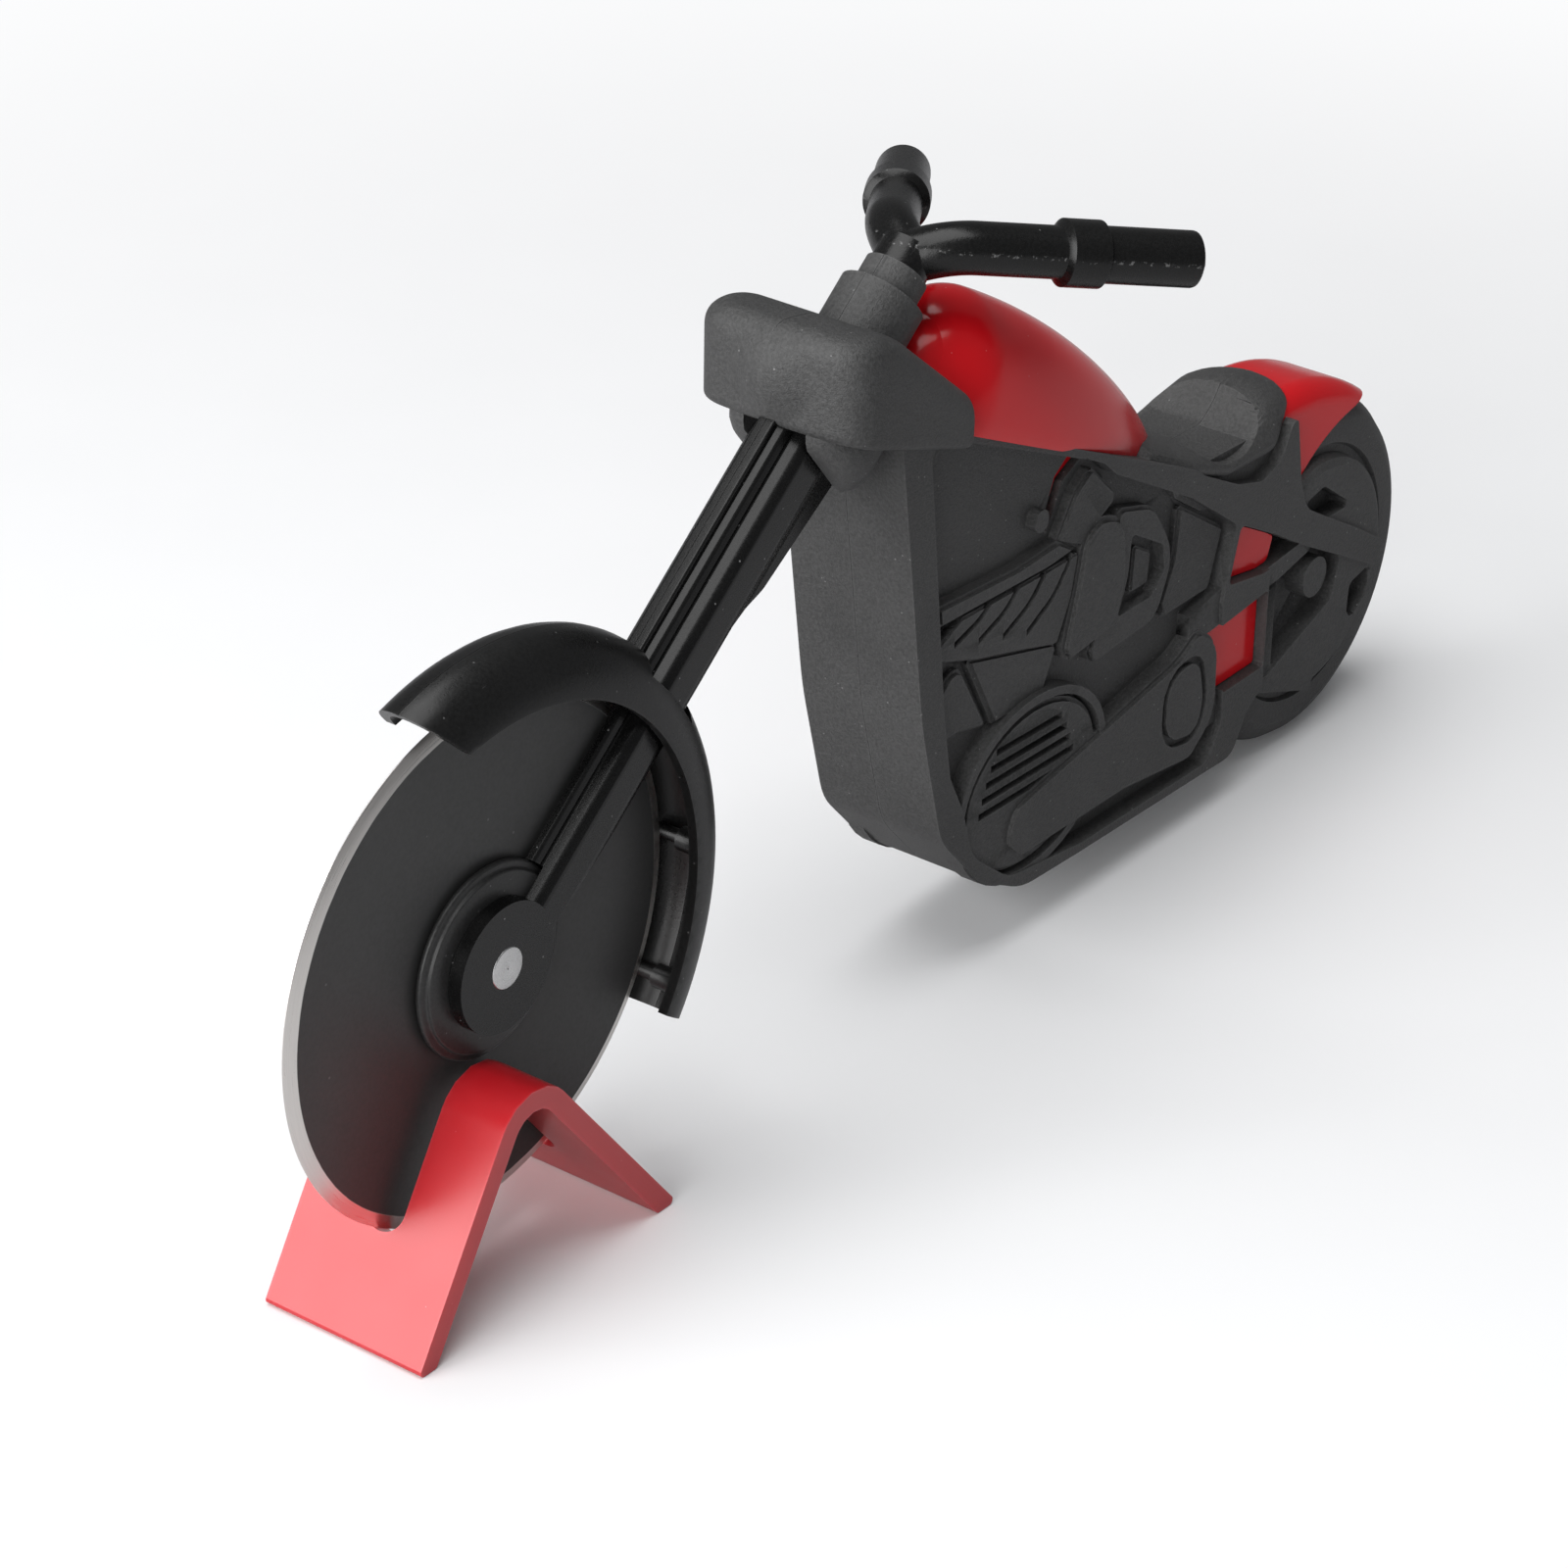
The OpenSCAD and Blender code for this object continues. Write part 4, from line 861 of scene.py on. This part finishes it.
def moulded(node, mat, width):
    # a copy of the solid whose sharp edges are rounded as a mould leaves them
    bm = bmesh.new()
    bm.from_mesh(frame["nodes"][node].data)
    bmesh.ops.remove_doubles(bm, verts=bm.verts, dist=loose)
    bmesh.ops.dissolve_limit(bm, angle_limit=math.radians(0.6), verts=bm.verts, edges=bm.edges)
    bmesh.ops.triangulate(bm, faces=[f for f in bm.faces if len(f.verts) > 4], ngon_method="BEAUTY")
    weight = bm.edges.layers.float.new("bevel_weight_edge")
    if node.startswith("body_"):
        sinkFairing(bm, fairing)
        for edge in softEdges(bm):
            edge[weight] = 1.0
    if node == "core":
        sinkTank(bm, plainTank)
    for face in bm.faces:
        face.smooth = True
        face.material_index = 0
    mesh = bpy.data.meshes.new(node + "Moulded")
    bm.to_mesh(mesh)
    bm.free()
    mesh.materials.append(mat)
    piece = bpy.data.objects.new(node + "Moulded", mesh)
    bpy.context.scene.collection.objects.link(piece)
    if node.startswith("body_"):
        addBevel(piece, "softEdge", block["softEdge"], 3, "WEIGHT")
    addBevel(piece, "round", width, 3, "ANGLE")
    keepShape(piece)
    piece.data.set_sharp_from_angle(angle=math.radians(24))
    even = piece.modifiers.new("evenShade", "WEIGHTED_NORMAL")
    even.mode = "FACE_AREA"
    even.weight = 50
    even.keep_sharp = True
    keepShape(piece)
    return piece


def keepShape(piece):
    deps = bpy.context.evaluated_depsgraph_get()
    made = bpy.data.meshes.new_from_object(piece.evaluated_get(deps))
    piece.modifiers.clear()
    piece.data = made


def addBevel(piece, name, width, segments, limit):
    bevel = piece.modifiers.new(name, "BEVEL")
    bevel.width = width * mm
    bevel.segments = segments
    bevel.limit_method = limit
    bevel.angle_limit = sharpest
    bevel.use_clamp_overlap = True
    bevel.miter_outer = "MITER_ARC"


def place(piece, node):
    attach(piece, bodyOf[node])
    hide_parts(node)


mouldedFinish = {
    "body_left": "shell", "body_right": "shell", "core": "red", "fork_left": "fork",
    "fork_right": "fork", "fender_left": "fender", "fender_right": "fender", "blade_rest": "rest",
}
for node, key in mouldedFinish.items():
    place(moulded(node, finishes[key], rounding[node]), node)
print("moulded pieces ready")

wholeSkin = fairingSkin(fairing)
for side, sign in (("left", -1), ("right", 1)):
    half = fairingHalf(wholeSkin, fairing, sign, "fairing" + side.capitalize(), finishes["shell"])
    place(half, "body_" + side)
wholeSkin.free()
print("fairing ready")

place(buildTank(tank, finishes["red"]), "core")
print("tank ready")
place(buildHandlebar(handlebar, finishes["bars"]), "handlebar")
print("handlebar ready")

bladeSizes = {"Rim Radius": rimRadius / mm, "Flat Radius": rimRadius / mm - wheel["bevel"],
              "Hole Radius": wheel["bushRadius"], "Face": wheel["halfThick"],
              "Back": -wheel["halfThick"], "Tip": wheel["halfTip"], "Tip Back": -wheel["halfTip"]}
bladeOutline = [("Hole Radius", "Back"), ("Flat Radius", "Back"), ("Rim Radius", "Tip Back"),
                ("Rim Radius", "Tip"), ("Flat Radius", "Face"), ("Hole Radius", "Face")]
place(turned("bladeTurned", bladeSizes, bladeOutline, axle, finishes["blade"], 0.02, 384), "blade")

bushSizes = {"Outer Radius": wheel["bushRadius"], "Bore Radius": wheel["boreRadius"],
             "Face": wheel["halfThick"], "Back": -wheel["halfThick"]}
bushOutline = [("Bore Radius", "Back"), ("Outer Radius", "Back"), ("Outer Radius", "Face"),
               ("Bore Radius", "Face")]
place(turned("bushTurned", bushSizes, bushOutline, axle, finishes["bush"], 0.05), "blade_bush")

washerOutline = [("Bore Radius", "Inner"), ("Outer Radius", "Inner"), ("Outer Radius", "Step"),
                 ("Step Radius", "Step"), ("Step Radius", "Outer"), ("Bore Radius", "Outer")]
washer = wheel["washer"]
for side, sign in (("left", 1), ("right", -1)):
    washerSizes = {"Bore Radius": wheel["boreRadius"], "Outer Radius": washer["radius"],
                   "Step Radius": washer["stepRadius"], "Inner": sign * washer["inner"],
                   "Step": sign * washer["step"], "Outer": sign * washer["outer"]}
    place(turned("washer" + side.capitalize(), washerSizes, washerOutline, axle,
                 finishes["hub"], 0.38), "washer_" + side)

pin = wheel["pin"]
pinSizes = {"Core": pin["core"], "Pin Radius": pin["radius"],
            "Left End": pin["halfLength"], "Right End": -pin["halfLength"]}
pinOutline = [("Core", "Right End"), ("Pin Radius", "Right End"), ("Pin Radius", "Left End"),
              ("Core", "Left End")]
place(turned("axlePin", pinSizes, pinOutline, axle, finishes["pin"], 0.22, 96), "axle_pin")
print("wheel and hub ready")

screws = {"headRadius": 2.6, "headHeight": 1.6, "shankRadius": 1.2, "shankLength": 7.8,
          "slotLength": 3.0, "slotWidth": 0.6, "slotDepth": 1.4}
place(buildScrews(screws, finishes["screws"]), "body_screws")
print("screws ready")


studio = {
    "floor": (0.95, 0.955, 0.965, 1),
    "floorBounce": (0.55, 0.55, 0.56, 1),   # what the floor gives back to the object
    "skyLight": 0.16,
    "backdrop": (0.985, 0.988, 0.995, 1),
    "fadeFrom": 0.14, "fadeTo": 0.42,       # m from the middle, the floor passes into the backdrop
    "aim": (0, 0, 0.03),
    "lamps": {
        "softboxFront": {"size": (1.6, 1.0), "watts": 20.0, "at": (-1.0, 0.16, 0.30)},
        "softboxTop": {"size": (0.9, 0.9), "watts": 7.7, "at": (-0.15, 0.05, 1.0)},
    },
}


def makeFloor(v):
    t = FinishTree("floorPaper")
    seenDirect = t.add("ShaderNodeLightPath").outputs["Is Camera Ray"]
    paper = t.mix(t.noise(30, 2, 0.5), v["floor"], tuple(c * 0.99 for c in v["floor"][:3]) + (1,))
    paper = t.mix(seenDirect, v["floorBounce"], paper)
    t.surface(Base_Color=paper, Roughness=t.remap(t.noise(40), 0.3, 0.7, 0.55, 0.62))
    far = t.add("ShaderNodeVectorMath", {0: t.coords}, operation="LENGTH").outputs["Value"]
    fade = t.math("MULTIPLY", t.remap(far, v["fadeFrom"], v["fadeTo"], 0, 1, True), seenDirect)
    backdrop = t.add("ShaderNodeEmission", {"Color": v["backdrop"], "Strength": 1.0})
    out = [n for n in t.nodes if n.type == "OUTPUT_MATERIAL"][0]
    shaded = out.inputs["Surface"].links[0].from_socket
    passing = t.add("ShaderNodeMixShader", {0: fade, 1: shaded, 2: backdrop.outputs[0]})
    t.links.new(passing.outputs[0], out.inputs["Surface"])
    bpy.ops.mesh.primitive_plane_add(size=6.0, location=(0, 0, -0.0001))
    floor = bpy.context.object
    floor.name = "floor"
    floor.data.materials.append(t.mat)
    # the floor stays with the rest when the cutter is lifted off
    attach(floor, bodyOf["blade_rest"])


def makeSky(v):
    world = bpy.data.worlds.new("studioWorld")
    bpy.context.scene.world = world
    world.use_nodes = True
    world.node_tree.nodes.clear()
    w = NodeMaker(world.node_tree)
    path = w.add("ShaderNodeLightPath").outputs
    seen = w.math("MAXIMUM", path["Is Camera Ray"], path["Is Transmission Ray"])
    light = w.add("ShaderNodeBackground", {"Color": (0.97, 0.98, 1.0, 1), "Strength": v["skyLight"]})
    backdrop = w.add("ShaderNodeBackground", {"Color": v["backdrop"], "Strength": 1.0})
    sky = w.add("ShaderNodeMixShader", {0: seen, 1: light.outputs[0], 2: backdrop.outputs[0]})
    out = w.add("ShaderNodeOutputWorld")
    w.links.new(sky.outputs[0], out.inputs["Surface"])


def makeLamp(name, v, aim):
    data = bpy.data.lights.new(name, "AREA")
    data.shape = "RECTANGLE"
    data.size, data.size_y = v["size"]
    data.energy = v["watts"]
    lamp = bpy.data.objects.new(name, data)
    lamp.location = v["at"]
    lamp.rotation_euler = (Vector(aim) - Vector(v["at"])).to_track_quat("-Z", "Y").to_euler()
    bpy.context.scene.collection.objects.link(lamp)


makeFloor(studio)
makeSky(studio)
for lampName, lamp in studio["lamps"].items():
    makeLamp(lampName, lamp, studio["aim"])
print("studio ready")
bpy.context.scene.view_settings.view_transform = "Standard"
